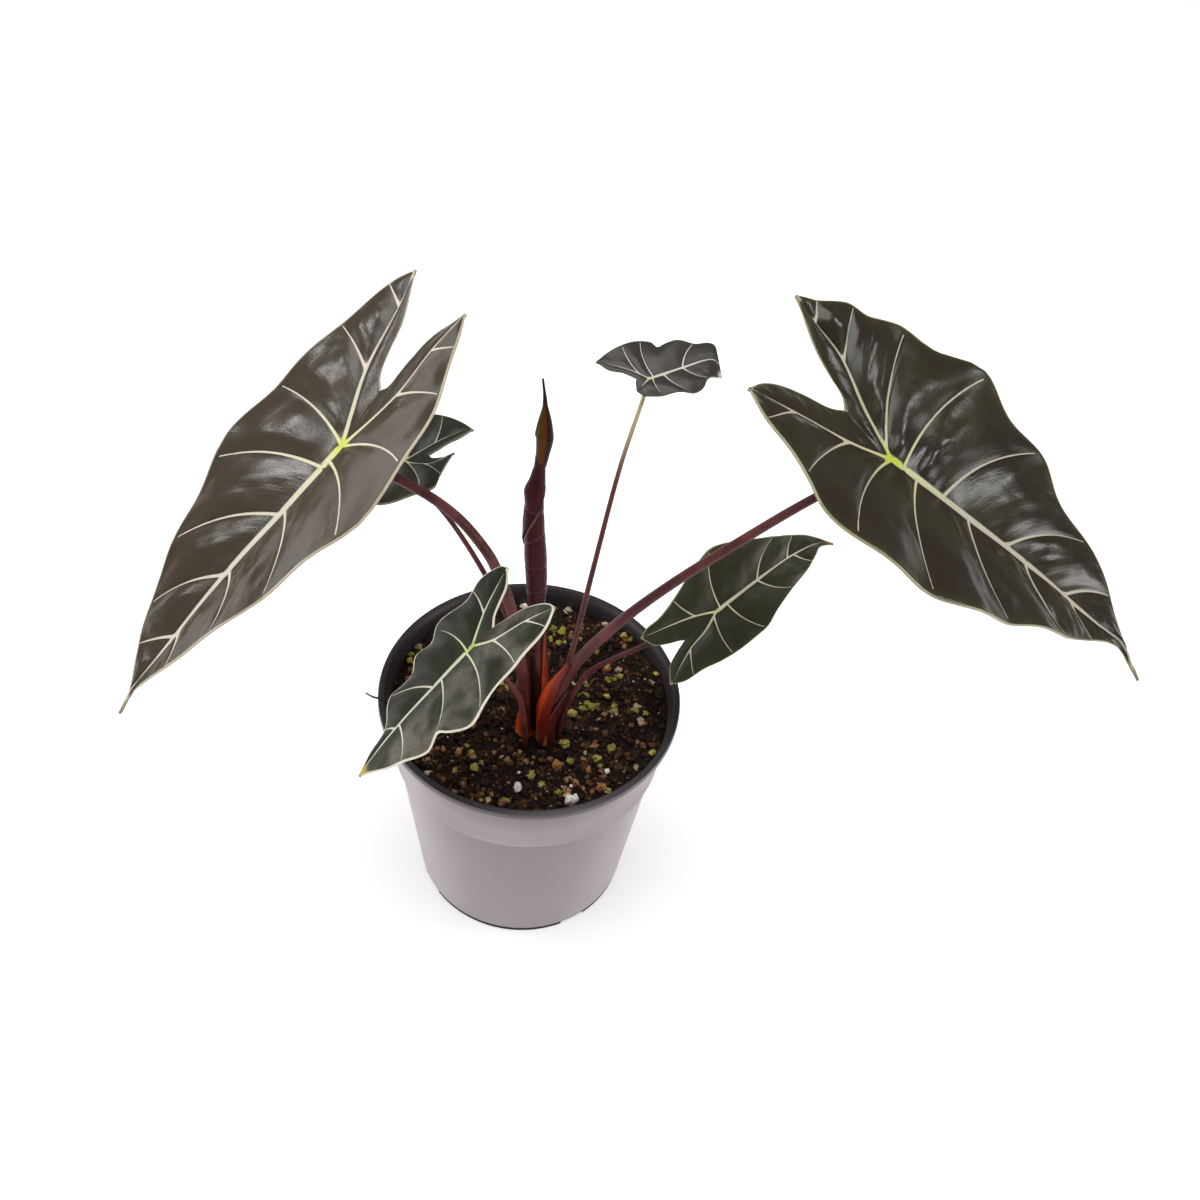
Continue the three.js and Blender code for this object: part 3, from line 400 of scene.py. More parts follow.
# Leaf stalks from the soil up, with radii at the foot, half way and at the blade
PETIOLES = [
    {
        "leaf": "left_large",
        "foot": (0.2, -16.6),
        "radii": (2.3, 2, 1.45),
        "path": [(-1.5, -16.9, 130), (-6.6, -17.2, 169), (-13.5, -17.8, 193.5), (-18.4, -18.1, 203.4),
                 (-25.4, -18.5, 213.6), (-32.8, -18.8, 220.8), (-40.5, -19.1, 226.2)],
    },
    {
        "leaf": "right_large",
        "foot": (8, -19.2),
        "radii": (2.7, 1.8, 1.4),
        "path": [(9.2, -19, 119), (16.5, -17.2, 144.6), (28.7, -16.2, 166.2), (45.7, -14.9, 188.4),
                 (67.9, -13.2, 212.4), (89.5, -11.6, 234)],
    },
    {
        "leaf": "back_centre_small",
        "foot": (11.3, -11.5),
        "radii": (1.4, 1, 0.75),
        "path": [(13, -7.6, 124), (16, -0.9, 142.4), (20.1, 12.1, 169.6), (25.7, 29.4, 203.4)],
    },
    {
        "leaf": "back_left_small",
        "foot": (-0.2, -9.8),
        "radii": (1.2, 1.05, 0.85),
        "path": [(-3.6, -6.4, 128), (-9, -1.5, 146.7), (-19.4, 5.9, 164), (-33.8, 15, 181)],
    },
    {
        "leaf": "front_left_small",
        "foot": (0.6, -22),
        "radii": (1.25, 1.05, 0.8),
        "path": [(0.4, -23.6, 112), (-1.3, -31.5, 139.8), (-5.6, -38.4, 158)],
    },
    {
        "leaf": "right_small",
        "foot": (13.2, -16.2),
        "radii": (1.15, 1.05, 0.9),
        "path": [(14.2, -14.2, 113), (21.4, -6.6, 128.6), (31, -2.2, 134.6), (43.3, 3.4, 138.8)],
    },
]
STALK_FOOT = 96.3
STALK_STEP = 1.5
STALK_SIDES = 24

# The rolled new leaf: its stalk, then the spike, with radii along the spike
ROLLED = {
    "foot": (5.2, -12.2),
    "stalk_radii": (2.65, 2.55, 2.3),
    "stalk_path": [(3.8, -11.8, 128), (2.2, -10.6, 149.5), (1.4, -9.2, 162)],
    "path": [(1.4, -9.2, 162.3), (0.4, -8, 178), (-0.8, -6.9, 192), (-1.8, -5.3, 207.7),
             (-1.6, -4, 220.9), (-0.2, -2.8, 233.8), (0, -2.1, 239.9), (-0.5, -0.9, 251.8),
             (-1.7, 0, 260)],
    "radii": [(0, 2.9), (0.12, 3.6), (0.28, 4.1), (0.45, 3.7), (0.58, 3), (0.66, 2), (0.72, 2.4),
              (0.78, 3.1), (0.84, 2.3), (0.9, 0.9), (0.95, 0.5), (1, 0.35)],
    "folds": [(0.134, 0.004), (0.244, -0.003), (0.366, 0.02), (0.488, -0.012)],
    "bulge": (0.56, 0.05, 0.9),
    "wrap_step": 0.2,
    "wrap_turns": 2.2,
    "ring_depth": 0.02,
    "ring_count": 8,
    "fold_depth": 0.05,
    "fold_reach": 0.006,
    "wrap_end": 0.7,
    "hood_span": (0.675, 0.92),
    "steps": 260,
    "sides": 72,
}

# Dry sheaths hug a stalk: angle about it (0 front, positive right), spread, and heights over the soil
SHEATHS = [
    {"name": "sheath_right_large", "of": "right_large", "angle": -62, "spread": 150, "span": (3, 47),
     "wing": 2.6},
    {"name": "sheath_furled", "of": "furled", "angle": 70, "spread": 120, "span": (3.4, 54), "wing": 0.5},
    {"name": "sheath_left_large", "of": "left_large", "angle": -10, "spread": 130, "span": (3, 22),
     "wing": 0},
]
# Two dark wraps at the feet of the stalks, with the same measures as a sheath
WRAPS = [
    {"name": "left", "of": "furled", "angle": -50, "spread": 210, "span": (2, 46), "wing": 1.6},
    {"name": "right", "of": "right_large", "angle": 60, "spread": 190, "span": (2, 34), "wing": 0.8},
]
SHEATH = {"thickness": 0.8, "clearance": 0.3, "flare": 0.7, "narrowing": 0.86}

# Granules that stand out on the soil: place in the picture, width in mm and kind
SEEN_GRANULES = [
    ((553, 631), 3.4, "green"), ((562, 633), 3.8, "green"), ((551, 638), 2.8, "straw"),
    ((607, 669), 3.8, "orange"), ((618, 673), 2.8, "cream"), ((608, 681), 2.8, "green"),
    ((614, 680), 2.6, "green"), ((584, 684), 3.8, "straw"), ((586, 697), 3, "green"),
    ((588, 707), 3, "green"), ((583, 711), 3, "green"), ((592, 711), 2.8, "green"),
    ((597, 708), 2.6, "green"), ((573, 716), 4.2, "straw"), ((606, 699), 2.6, "straw"),
    ((614, 714), 3.4, "straw"), ((634, 712), 3.6, "straw"), ((637, 706), 2.6, "cream"),
    ((634, 699), 2.4, "green"), ((598, 721), 1.8, "cream"), ((548, 742), 3.2, "orange"),
    ((564, 745), 3.8, "straw"), ((611, 752), 3.8, "green"), ((597, 759), 3.2, "straw"),
    ((583, 762), 3, "orange"), ((557, 767), 3.8, "orange"), ((530, 777), 3.8, "green"),
    ((541, 785), 3, "straw"), ((474, 770), 4, "straw"), ((481, 764), 2.4, "green"),
    ((468, 745), 2.2, "green"), ((502, 758), 1.6, "cream"), ((520, 752), 2.2, "straw"),
    ((416, 647), 3.4, "straw"), ((410, 663), 2.6, "straw"), ((408, 655), 2.6, "green"),
    ((601, 787), 4, "orange"), ((567, 798), 3, "straw"), ((559, 795), 2.4, "green"),
    ((506, 801), 3, "green"), ((488, 801), 2.6, "cream"), ((640, 723), 3.4, "cream"),
    ((645, 715), 2.2, "straw"), ((652, 683), 2.4, "cream"), ((568, 611), 3, "cream"),
    ((583, 615), 2, "cream"), ((523, 597), 2.6, "cream"), ((623, 637), 2.6, "straw"),
    ((638, 638), 2.6, "green"), ((660, 676), 2.2, "straw"), ((501, 687), 2.8, "straw"),
    ((520, 686), 3, "straw"), ((506, 691), 2.6, "straw"), ((659, 757), 2.8, "straw"),
    ((636, 768), 2.8, "cream"), ((609, 622), 2.8, "cream"), ((517, 662), 2.2, "green"),
]
SEEN_PERLITE = [((571, 803), 5.6), ((517, 789), 3.6), ((607, 773), 2.4), ((571, 790), 1.8),
                ((565, 612), 2.4), ((524, 596), 2.6), ((519, 773), 1.6), ((640, 720), 2)]
GRANULE_TONES = {"green": "9a9838", "straw": "bfae58", "cream": "d0b99a", "orange": "b8803e"}


# Colour and number helpers

def tone(code):
    """Linear colour of a six-digit hex code"""
    parts = [int(code[i:i + 2], 16) / 255 for i in (0, 2, 4)]
    return tuple(p / 12.92 if p <= 0.04045 else ((p + 0.055) / 1.055) ** 2.4 for p in parts)


def clamp(x, low=0.0, high=1.0):
    return min(max(x, low), high)


def between(table, x):
    """Straight-line reading of (x, value) rows in rising x"""
    i = 0
    while i < len(table) - 2 and x > table[i + 1][0]:
        i += 1
    (x0, v0), (x1, v1) = table[i], table[i + 1]
    return v0 + (v1 - v0) * clamp((x - x0) / (x1 - x0))


class SmoothLine:
    """A smooth line through points of any dimension, read by the distance along its chords"""

    def __init__(self, points):
        self.points = [Vector(p) for p in points]
        self.at = [0.0]
        for before, after in zip(self.points, self.points[1:]):
            self.at.append(self.at[-1] + (after - before).length)
        last = len(points) - 1
        self.slopes = []
        for i in range(last + 1):
            low, high = max(i - 1, 0), min(i + 1, last)
            self.slopes.append((self.points[high] - self.points[low]) / (self.at[high] - self.at[low]))
        self.length = self.at[-1]

    def read(self, distance):
        s = clamp(distance, 0, self.length)
        i = 0
        while i < len(self.points) - 2 and s > self.at[i + 1]:
            i += 1
        span = self.at[i + 1] - self.at[i]
        t = (s - self.at[i]) / span
        to_next = 3 * t ** 2 - 2 * t ** 3
        leaving = span * (t ** 3 - 2 * t ** 2 + t)
        arriving = span * (t ** 3 - t ** 2)
        here, there = self.points[i], self.points[i + 1]
        return here + (there - here) * to_next + self.slopes[i] * leaving + self.slopes[i + 1] * arriving

    def nearest(self, place, trials=600):
        target = Vector(place)
        return min((self.length * k / trials for k in range(trials + 1)),
                   key=lambda s: (self.read(s) - target).length)


class CentreLine:
    """A stalk's line with the directions to its front and right at each distance"""

    def __init__(self, points, start=None, end=None):
        self.curve = SmoothLine(points)
        self.length = self.curve.length
        self.start = start
        self.end = end

    def frame(self, distance):
        tiny = 0.2
        here = self.curve.read(distance)
        tangent = (self.curve.read(distance + tiny) - self.curve.read(distance - tiny)).normalized()
        if distance <= 0 and self.start:
            tangent = self.start
        if distance >= self.length and self.end:
            tangent = self.end
        front = Vector((0, -1, 0))
        front = (front - tangent * front.dot(tangent)).normalized()
        return here, front, tangent.cross(front)

    def around(self, distance, angle, reach):
        here, front, right = self.frame(distance)
        return here + (front * math.cos(angle) + right * math.sin(angle)) * reach


# The camera

def camera_axes():
    """Right, up and back directions of the camera"""
    elevation, roll = math.radians(CAMERA["elevation"]), math.radians(CAMERA["roll"])
    level, rise = Vector((1, 0, 0)), Vector((0, math.sin(elevation), math.cos(elevation)))
    back = Vector((0, -math.cos(elevation), math.sin(elevation)))
    right = level * math.cos(roll) + rise * math.sin(roll)
    return right, rise * math.cos(roll) - level * math.sin(roll), back


def picture_to_soil(pixel):
    """Where the line of sight through a place in the picture meets the soil's level"""
    right, up, back = camera_axes()
    middle = CAMERA["frame_pixels"] / 2
    across = (pixel[0] - middle) / CAMERA["focal_pixels"]
    down = (pixel[1] - middle) / CAMERA["focal_pixels"]
    sight = right * across - up * down - back
    eye = Vector(CAMERA["place"])
    return eye + sight * ((SOIL["level"] - eye.z) / sight.z)


# Mesh helpers

def mapped_grid(bm, rows, columns, place, flow=None):
    """Add a grid of rows x columns corners, bent so that place(row, column) is each corner's spot"""
    made = bmesh.ops.create_grid(bm, x_segments=rows - 1, y_segments=columns - 1, size=0.5)
    uv = bm.loops.layers.uv.get("way") or bm.loops.layers.uv.new("way")
    cells = {}
    for vert in made["verts"]:
        cells[vert] = (round((vert.co.x + 0.5) * (rows - 1)), round((vert.co.y + 0.5) * (columns - 1)))
    for face in {face for vert in cells for face in vert.link_faces}:
        for loop in face.loops:
            row, column = cells[loop.vert]
            loop[uv].uv = flow(row, column) if flow else (row / (rows - 1), column / (columns - 1))
    for vert, (row, column) in cells.items():
        vert.co = place(row, column)
    return cells


def faced_up(bm, cells):
    """Turn a grid's faces over if, on the whole, they look down"""
    bm.normal_update()
    faces = list({face for vert in cells for face in vert.link_faces})
    if sum(face.normal.z * face.calc_area() for face in faces) < 0:
        bmesh.ops.reverse_faces(bm, faces=faces)


def thickened(bm, lift, up, down):
    """Make a sheet a closed thick one: its upper face is raised by up(vert), its lower by down(vert)"""
    bm.normal_update()
    for vert in bm.verts:
        vert[lift] = vert.normal
    made = bmesh.ops.extrude_face_region(bm, geom=bm.faces[:], use_keep_orig=True)
    upper = {part for part in made["geom"] if isinstance(part, bmesh.types.BMVert)}
    for vert in bm.verts:
        vert.co += vert[lift] * (up(vert) if vert in upper else -down(vert))
    return upper


def finished(bm, name, materials, nodes=()):
    """Turn the mesh into a smooth piece in metres that rides on the plant"""
    bmesh.ops.scale(bm, vec=(MM, MM, MM), verts=bm.verts[:])
    # Three blades' margins would stand up to 0.5 mm past the solid model's box, and are moved back to it
    for vert in bm.verts:
        vert.co = [clamp(x, low, high) for x, low, high in zip(vert.co, *SOLID_BOX)]
    for face in bm.faces:
        face.smooth = True
    mesh = bpy.data.meshes.new(name)
    bm.to_mesh(mesh)
    bm.free()
    for material in materials:
        mesh.materials.append(material)
    piece = bpy.data.objects.new(name, mesh)
    bpy.context.scene.collection.objects.link(piece)
    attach(piece, "root")
    if nodes:
        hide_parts(*nodes)
    return piece


def merged(bm, part):
    """Add a small mesh to a larger one, and free it"""
    mesh = bpy.data.meshes.new("part")
    part.to_mesh(mesh)
    part.free()
    bm.from_mesh(mesh)
    bpy.data.meshes.remove(mesh)


def rolled_up(bm, line, radius_at, steps, sides):
    """Bend a grid round a line; its UV runs along and round it"""

    def place(row, column):
        distance, angle = line.length * row / steps, 2 * math.pi * column / sides
        return line.around(distance, angle, radius_at(distance, angle))

    return mapped_grid(bm, steps + 1, sides + 1, place)


def closed(bm):
    """Join the seam of a rolled-up grid and fill its ends"""
    bmesh.ops.remove_doubles(bm, verts=bm.verts[:], dist=MERGE)
    bmesh.ops.holes_fill(bm, edges=[edge for edge in bm.edges if edge.is_boundary], sides=0)
    bmesh.ops.recalc_face_normals(bm, faces=bm.faces[:])


def tube(bm, line, radius_at, steps, sides):
    rolled_up(bm, line, radius_at, steps, sides)
    closed(bm)


def spun(section, steps):
    """Turn a half section of (radius, height) corners once round the upright axis"""
    bm = bmesh.new()
    verts = [bm.verts.new((radius, 0, height)) for radius, height in section]
    edges = [bm.edges.new(pair) for pair in zip(verts, verts[1:])]
    bmesh.ops.spin(bm, geom=verts + edges, axis=(0, 0, 1), cent=(0, 0, 0), angle=2 * math.pi,
                   steps=steps, use_merge=True)
    bmesh.ops.remove_doubles(bm, verts=bm.verts[:], dist=MERGE)
    return bm


# Node helpers

def join(tree, value, socket):
    """Link a socket to an input, or set a plain value on it"""
    if isinstance(value, bpy.types.NodeSocket):
        tree.links.new(value, socket)
    else:
        socket.default_value = value


def new_node(tree, kind, inputs=None, **settings):
    """Add a node, set its properties, and set or join its inputs"""
    node = tree.nodes.new(kind)
    for name, value in settings.items():
        setattr(node, name, value)
    for key, value in (inputs or {}).items():
        join(tree, value, node.inputs[key])
    return node


def opaque(colour):
    return (*colour[:3], 1.0)


def mixed(tree, factor, first, second):
    """Mix two colours; the colours' sockets are the seventh and eighth of a Mix node"""
    inputs = {0: factor, 6: first, 7: second}
    for key in (6, 7):
        if not isinstance(inputs[key], bpy.types.NodeSocket):
            inputs[key] = opaque(inputs[key])
    return new_node(tree, "ShaderNodeMix", inputs, data_type="RGBA").outputs[2]


def sum_of(tree, first, second):
    return new_node(tree, "ShaderNodeMath", {0: first, 1: second}, operation="ADD").outputs[0]


def product_of(tree, first, second):
    return new_node(tree, "ShaderNodeMath", {0: first, 1: second}, operation="MULTIPLY").outputs[0]


def ramped(tree, value, low, high, to_low=0.0, to_high=1.0):
    """Smooth change from to_low at low to to_high at high"""
    inputs = {"Value": value, "From Min": low, "From Max": high, "To Min": to_low, "To Max": to_high}
    return new_node(tree, "ShaderNodeMapRange", inputs, interpolation_type="SMOOTHSTEP").outputs[0]


def noise_of(tree, vector, scale, detail=3.0, roughness=0.55):
    inputs = {"Vector": vector, "Scale": scale, "Detail": detail, "Roughness": roughness}
    return new_node(tree, "ShaderNodeTexNoise", inputs).outputs["Fac"]


def object_place(tree):
    return new_node(tree, "ShaderNodeTexCoord").outputs["Object"]


def surface_way(tree):
    """The piece's own lengthwise and crosswise coordinates"""
    return new_node(tree, "ShaderNodeUVMap", uv_map="way").outputs[0]


def stretched(tree, vector, scale):
    return new_node(tree, "ShaderNodeMapping", {"Vector": vector, "Scale": scale}).outputs[0]


def attribute(tree, name, output="Fac"):
    return new_node(tree, "ShaderNodeAttribute", attribute_name=name).outputs[output]


def new_group(name, inputs, outputs):
    """A node group with (name, socket type, default) inputs and (name, type) outputs"""
    tree = bpy.data.node_groups.new(name, "ShaderNodeTree")
    for label, kind, default in inputs:
        socket = tree.interface.new_socket(label, in_out="INPUT", socket_type=kind)
        if default is not None:
            socket.default_value = default
    for label, kind in outputs:
        tree.interface.new_socket(label, in_out="OUTPUT", socket_type=kind)
    return tree, tree.nodes.new("NodeGroupInput").outputs, tree.nodes.new("NodeGroupOutput").inputs


def placed_group(tree, group, inputs):
    return new_node(tree, "ShaderNodeGroup", inputs, node_tree=group).outputs


def mottle_group():
    """Shared effect: slow and fine changes of a surface's colour"""
    name = "mottled_tone"
    if name in bpy.data.node_groups:
        return bpy.data.node_groups[name]
    inputs = [("Vector", "NodeSocketVector", None), ("Colour", "NodeSocketColor", None),
              ("Other", "NodeSocketColor", None), ("Scale", "NodeSocketFloat", 60.0),
              ("Amount", "NodeSocketFloat", 0.4)]
    tree, given, result = new_group(name, inputs, [("Colour", "NodeSocketColor"),
                                                   ("Pattern", "NodeSocketFloat")])
    slow = noise_of(tree, given["Vector"], given["Scale"], 2.0)
    fine = noise_of(tree, given["Vector"], product_of(tree, given["Scale"], 9.0), 4.0)
    pattern = sum_of(tree, ramped(tree, slow, 0.35, 0.68), ramped(tree, fine, 0.3, 0.75, 0.0, 0.45))
    part = product_of(tree, pattern, given["Amount"])
    tree.links.new(mixed(tree, part, given["Colour"], given["Other"]), result["Colour"])
    tree.links.new(pattern, result["Pattern"])
    return tree


def grain_group():
    """Shared effect: height of a fine cellular grain with pits"""
    name = "fine_grain"
    if name in bpy.data.node_groups:
        return bpy.data.node_groups[name]
    inputs = [("Vector", "NodeSocketVector", None), ("Scale", "NodeSocketFloat", 1500.0),
              ("Depth", "NodeSocketFloat", 1.0)]
    tree, given, result = new_group(name, inputs, [("Height", "NodeSocketFloat")])
    cells = new_node(tree, "ShaderNodeTexVoronoi", {"Vector": given["Vector"], "Scale": given["Scale"]})
    rough = noise_of(tree, given["Vector"], product_of(tree, given["Scale"], 0.45), 5.0, 0.65)
    both = sum_of(tree, cells.outputs["Distance"], rough)
    tree.links.new(product_of(tree, both, given["Depth"]), result["Height"])
    return tree


def mottled(tree, place, colour, other, scale, amount):
    """The shared mottle on a surface: its Colour and its Pattern"""
    return placed_group(tree, mottle_group(), {
        "Vector": place, "Colour": opaque(colour), "Other": opaque(other), "Scale": scale,
        "Amount": amount})


def grain_of(tree, place, scale, depth=1.0):
    inputs = {"Vector": place, "Scale": scale, "Depth": depth}
    return placed_group(tree, grain_group(), inputs)["Height"]


def new_material(name):
    """A material with its tree, its shader node and the piece's own coordinates"""
    material = bpy.data.materials.new(name)
    material.use_nodes = True
    tree = material.node_tree
    return material, tree, tree.nodes["Principled BSDF"], object_place(tree)


def set_shader(tree, shader, colour, roughness, height=None, depth_mm=0.1, **constants):
    """Join colour, roughness and relief to the shader; constants go on its own sockets"""
    join(tree, colour, shader.inputs["Base Color"])
    join(tree, roughness, shader.inputs["Roughness"])
    if height is not None:
        bump = new_node(tree, "ShaderNodeBump", {"Height": height, "Distance": depth_mm * MM})
        tree.links.new(bump.outputs[0], shader.inputs["Normal"])
    for socket, value in constants.items():
        shader.inputs[socket.replace("_", " ")].default_value = value


# Settings

# What all colours among the settings share
COLOUR = {"subtype": "COLOR", "size": 3, "min": 0, "max": 1}


class StageSettings(bpy.types.PropertyGroup):
    floor: FloatVectorProperty(
        name="Floor", description="Colour of the floor", default=(0.92, 0.92, 0.92), **COLOUR)
    overhead: FloatProperty(
        name="Overhead light", description="Power of the large light overhead", unit="POWER",
        min=0, default=17.0)
    left: FloatProperty(
        name="Left light", description="Power of the soft light at the left", unit="POWER",
        min=0, default=2.4)
    right: FloatProperty(
        name="Right light", description="Power of the soft light at the right", unit="POWER",
        min=0, default=2.0)
    glow: FloatProperty(
        name="Floor glow", description="Light that the floor gives by itself", min=0, default=0.5)
    horizon: FloatProperty(
        name="Backdrop", description="Brightness of the surround low at the sides", min=0, default=1.5)
    sky: FloatProperty(
        name="Ceiling", description="Brightness of the surround elsewhere", min=0, default=0.2)


class PotSettings(bpy.types.PropertyGroup):
    outside: FloatVectorProperty(
        name="Outside", description="Colour of the pot's outer face", default=tone("33202b"), **COLOUR)
    inside: FloatVectorProperty(
        name="Inside", description="Colour of the lip and inner face", default=tone("292527"), **COLOUR)
    steps: IntProperty(
        name="Steps round", description="Steps round the pot", min=48, max=360, default=192)


class SoilSettings(bpy.types.PropertyGroup):
    dark: FloatVectorProperty(
        name="Dark", description="Darkest tone of the mix", default=tone("140b07"), **COLOUR)
    brown: FloatVectorProperty(
        name="Brown", description="Lighter tone of the mix", default=tone("5c4029"), **COLOUR)
    crumbs: IntProperty(
        name="Crumbs", description="Loose crumbs on the surface", min=0, default=2600)
    granules: IntProperty(
        name="Granules", description="Granules besides those that stand out", min=0, default=60)
    fibres: IntProperty(
        name="Fibres", description="Thin root fibres on the surface", min=0, default=70)


class StalkSettings(bpy.types.PropertyGroup):
    maroon: FloatVectorProperty(
        name="Maroon", description="Colour of the stalks", default=tone("421a1d"), **COLOUR)
    foot: FloatVectorProperty(
        name="Foot", description="Colour at the foot of the stalks", default=tone("4a170c"), **COLOUR)
    pale: FloatVectorProperty(
        name="Pale end", description="Colour of a small stalk under its blade",
        default=tone("d4d2a2"), **COLOUR)
    sheath: FloatVectorProperty(
        name="Sheath", description="Colour of the dry sheaths", default=tone("bc4a18"), **COLOUR)


class BladeSettings(bpy.types.PropertyGroup):
    step: FloatProperty(
        name="Mesh step", description="Distance between the mesh rows of a large blade", unit="LENGTH",
        min=0.0005, default=0.0013)
    under: FloatVectorProperty(
        name="Underside", description="Colour of the blades' lower face",
        default=tone("4c2029"), **COLOUR)
    under_vein: FloatVectorProperty(
        name="Underside veins", description="Colour of the veins below",
        default=tone("7c4a44"), **COLOUR)


class RolledSettings(bpy.types.PropertyGroup):
    maroon: FloatVectorProperty(
        name="Maroon", description="Colour of the rolled leaf", default=tone("3e0c14"), **COLOUR)
    red: FloatVectorProperty(
        name="Red", description="Warm tone between the rings", default=tone("34080c"), **COLOUR)
    hood: FloatVectorProperty(
        name="Hood", description="Colour of the opening hood", default=tone("5e2c02"), **COLOUR)


class AroidSettings(bpy.types.PropertyGroup):
    stage: PointerProperty(type=StageSettings)
    pot: PointerProperty(type=PotSettings)
    soil: PointerProperty(type=SoilSettings)
    stalks: PointerProperty(type=StalkSettings)
    blades: PointerProperty(type=BladeSettings)
    rolled: PointerProperty(type=RolledSettings)


# Stage

def make_camera():
    right, up, back = camera_axes()
    data = bpy.data.cameras.new("camera")
    data.sensor_width = CAMERA["sensor"]
    data.lens = CAMERA["sensor"] * CAMERA["focal_pixels"] / CAMERA["frame_pixels"]
    data.clip_start = 0.01
    camera = bpy.data.objects.new("camera", data)
    turn = Matrix((right, up, back)).transposed().to_4x4()
    camera.matrix_world = Matrix.Translation(Vector(CAMERA["place"]) * MM) @ turn
    bpy.context.scene.collection.objects.link(camera)
    bpy.context.scene.camera = camera


def make_light(light_plan, power):
    data = bpy.data.lights.new(light_plan["name"], "AREA")
    data.shape = "RECTANGLE"
    data.size, data.size_y = light_plan["size"]
    data.energy = power
    light = bpy.data.objects.new(light_plan["name"], data)
    light.location = light_plan["place"]
    aim = Vector(LIGHT_TARGET) - Vector(light_plan["place"])
    light.rotation_mode = "QUATERNION"
    light.rotation_quaternion = aim.to_track_quat("-Z", "Y")
    bpy.context.scene.collection.objects.link(light)


def make_surround(settings):
    """A surround that is bright low in front and at the sides, and plain to the camera"""
    world = bpy.data.worlds.new("pale_surround")
    world.use_nodes = True
    tree = world.node_tree
    direction = new_node(tree, "ShaderNodeTexCoord").outputs["Generated"]
    parts = new_node(tree, "ShaderNodeSeparateXYZ", {0: direction}).outputs
    low = ramped(tree, parts[2], 0.1, 0.32, 1.0, 0.0)
    front = ramped(tree, parts[1], -0.15, 0.1, 1.0, 0.0)
    sideways = new_node(tree, "ShaderNodeMath", {0: parts[0]}, operation="ABSOLUTE").outputs[0]
    aside = ramped(tree, sideways, 0.7, 0.92, 0.0, 4.5)
    left = ramped(tree, parts[0], -0.65, -0.3, 0.85, 0.0)
    part = product_of(tree, low, sum_of(tree, left, product_of(tree, aside, front)))
    glow = sum_of(tree, product_of(tree, part, settings.horizon - settings.sky), settings.sky)
    seen = new_node(tree, "ShaderNodeLightPath").outputs["Is Camera Ray"]
    background = tree.nodes["Background"]
    tree.links.new(mixed(tree, seen, (1.0, 0.935, 0.9), (1.0, 1.0, 1.0)), background.inputs["Color"])
    tree.links.new(ramped(tree, seen, 0.0, 1.0, glow, 0.92), background.inputs["Strength"])
    bpy.context.scene.world = world


def floor_material(colour, glow):
    material, tree, shader, place = new_material("pale_floor")
    grain = grain_of(tree, place, 400.0)
    shade = mottled(tree, place, colour, [c * 0.99 for c in colour], 4.0, 0.5)["Colour"]
    set_shader(tree, shader, shade, 0.6, grain, 0.02, Emission_Color=(1.0, 1.0, 1.0, 1.0),
               Emission_Strength=glow)
    return material


# Pot

def pot_profile():
    """Half section of the pot from the middle of its underside round to the middle of its floor"""
    low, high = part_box("pot")
    rim, height = high[0] / MM, high[2] / MM
    lip_bottom = height - POT["lip_height"]
    wall = POT["wall"]
    band_low, band = POT["band_bottom_height"], POT["band_bottom_radius"]
    outside = [
        (0, 0.9), (POT["base_radius"] - 6, 0.9), (POT["base_radius"] - 5, 0), (POT["base_radius"] - 0.5, 0),
        (POT["base_radius"], 0.5), (POT["base_radius"] + 0.2, POT["foot_line"]),
        (POT["base_radius"] + 0.35, 3),
        (POT["wall_top_radius"] - 0.15, band_low - 1.2), (POT["wall_top_radius"], band_low - 0.5),
        (band - 0.4, band_low), (band, band_low + 0.5), (POT["band_top_radius"], lip_bottom - 0.3),
        (POT["band_top_radius"] + 0.5, lip_bottom), (rim - 0.5, lip_bottom + 0.25),
        (rim, lip_bottom + 0.8), (rim, height - 0.9), (rim - 0.3, height - 0.25), (rim - 0.9, height),
    ]
    inside = [
        (rim - POT["lip_width"] + 0.4, height), (rim - POT["lip_width"], height - 0.4),
        (POT["band_top_radius"] - wall, lip_bottom - 1), (band - wall, band_low + 1),
        (POT["wall_top_radius"] - wall, band_low - 1), (POT["base_radius"] - wall, POT["floor"]),
        (0, POT["floor"]),
    ]
    return outside, inside


def cut_notches(piece):
    """Cut the drain notches out of the pot's foot"""
    bm = bmesh.new()
    for k in range(POT["notch_count"]):
        turn = math.radians(POT["first_notch_angle"] + 360 * k / POT["notch_count"])
        middle = POT["base_radius"] + 1 - POT["notch_depth"] / 2
        size = (POT["notch_depth"], POT["notch_width"], 2 * POT["notch_height"])
        place = Matrix.Rotation(turn, 4, "Z") @ Matrix.Translation((middle, 0, 0))
        block = place @ Matrix.Diagonal((*size, 1))
        bmesh.ops.create_cube(bm, size=1, matrix=Matrix.Scale(MM, 4) @ block)
    mesh = bpy.data.meshes.new("notches")
    bm.to_mesh(mesh)
    bm.free()
    cutter = bpy.data.objects.new("notches", mesh)
    bpy.context.scene.collection.objects.link(cutter)
    cut = piece.modifiers.new("notches", "BOOLEAN")
    cut.operation = "DIFFERENCE"
    cut.solver = "EXACT"
    cut.object = cutter
    evaluated = piece.evaluated_get(bpy.context.evaluated_depsgraph_get())
    result = bpy.data.meshes.new_from_object(evaluated)
    piece.modifiers.clear()
    piece.data = result
    bpy.data.objects.remove(cutter)
    for polygon in piece.data.polygons:
        polygon.use_smooth = True
    piece.data.set_sharp_from_angle(angle=math.radians(POT["notch_edge_angle"]))


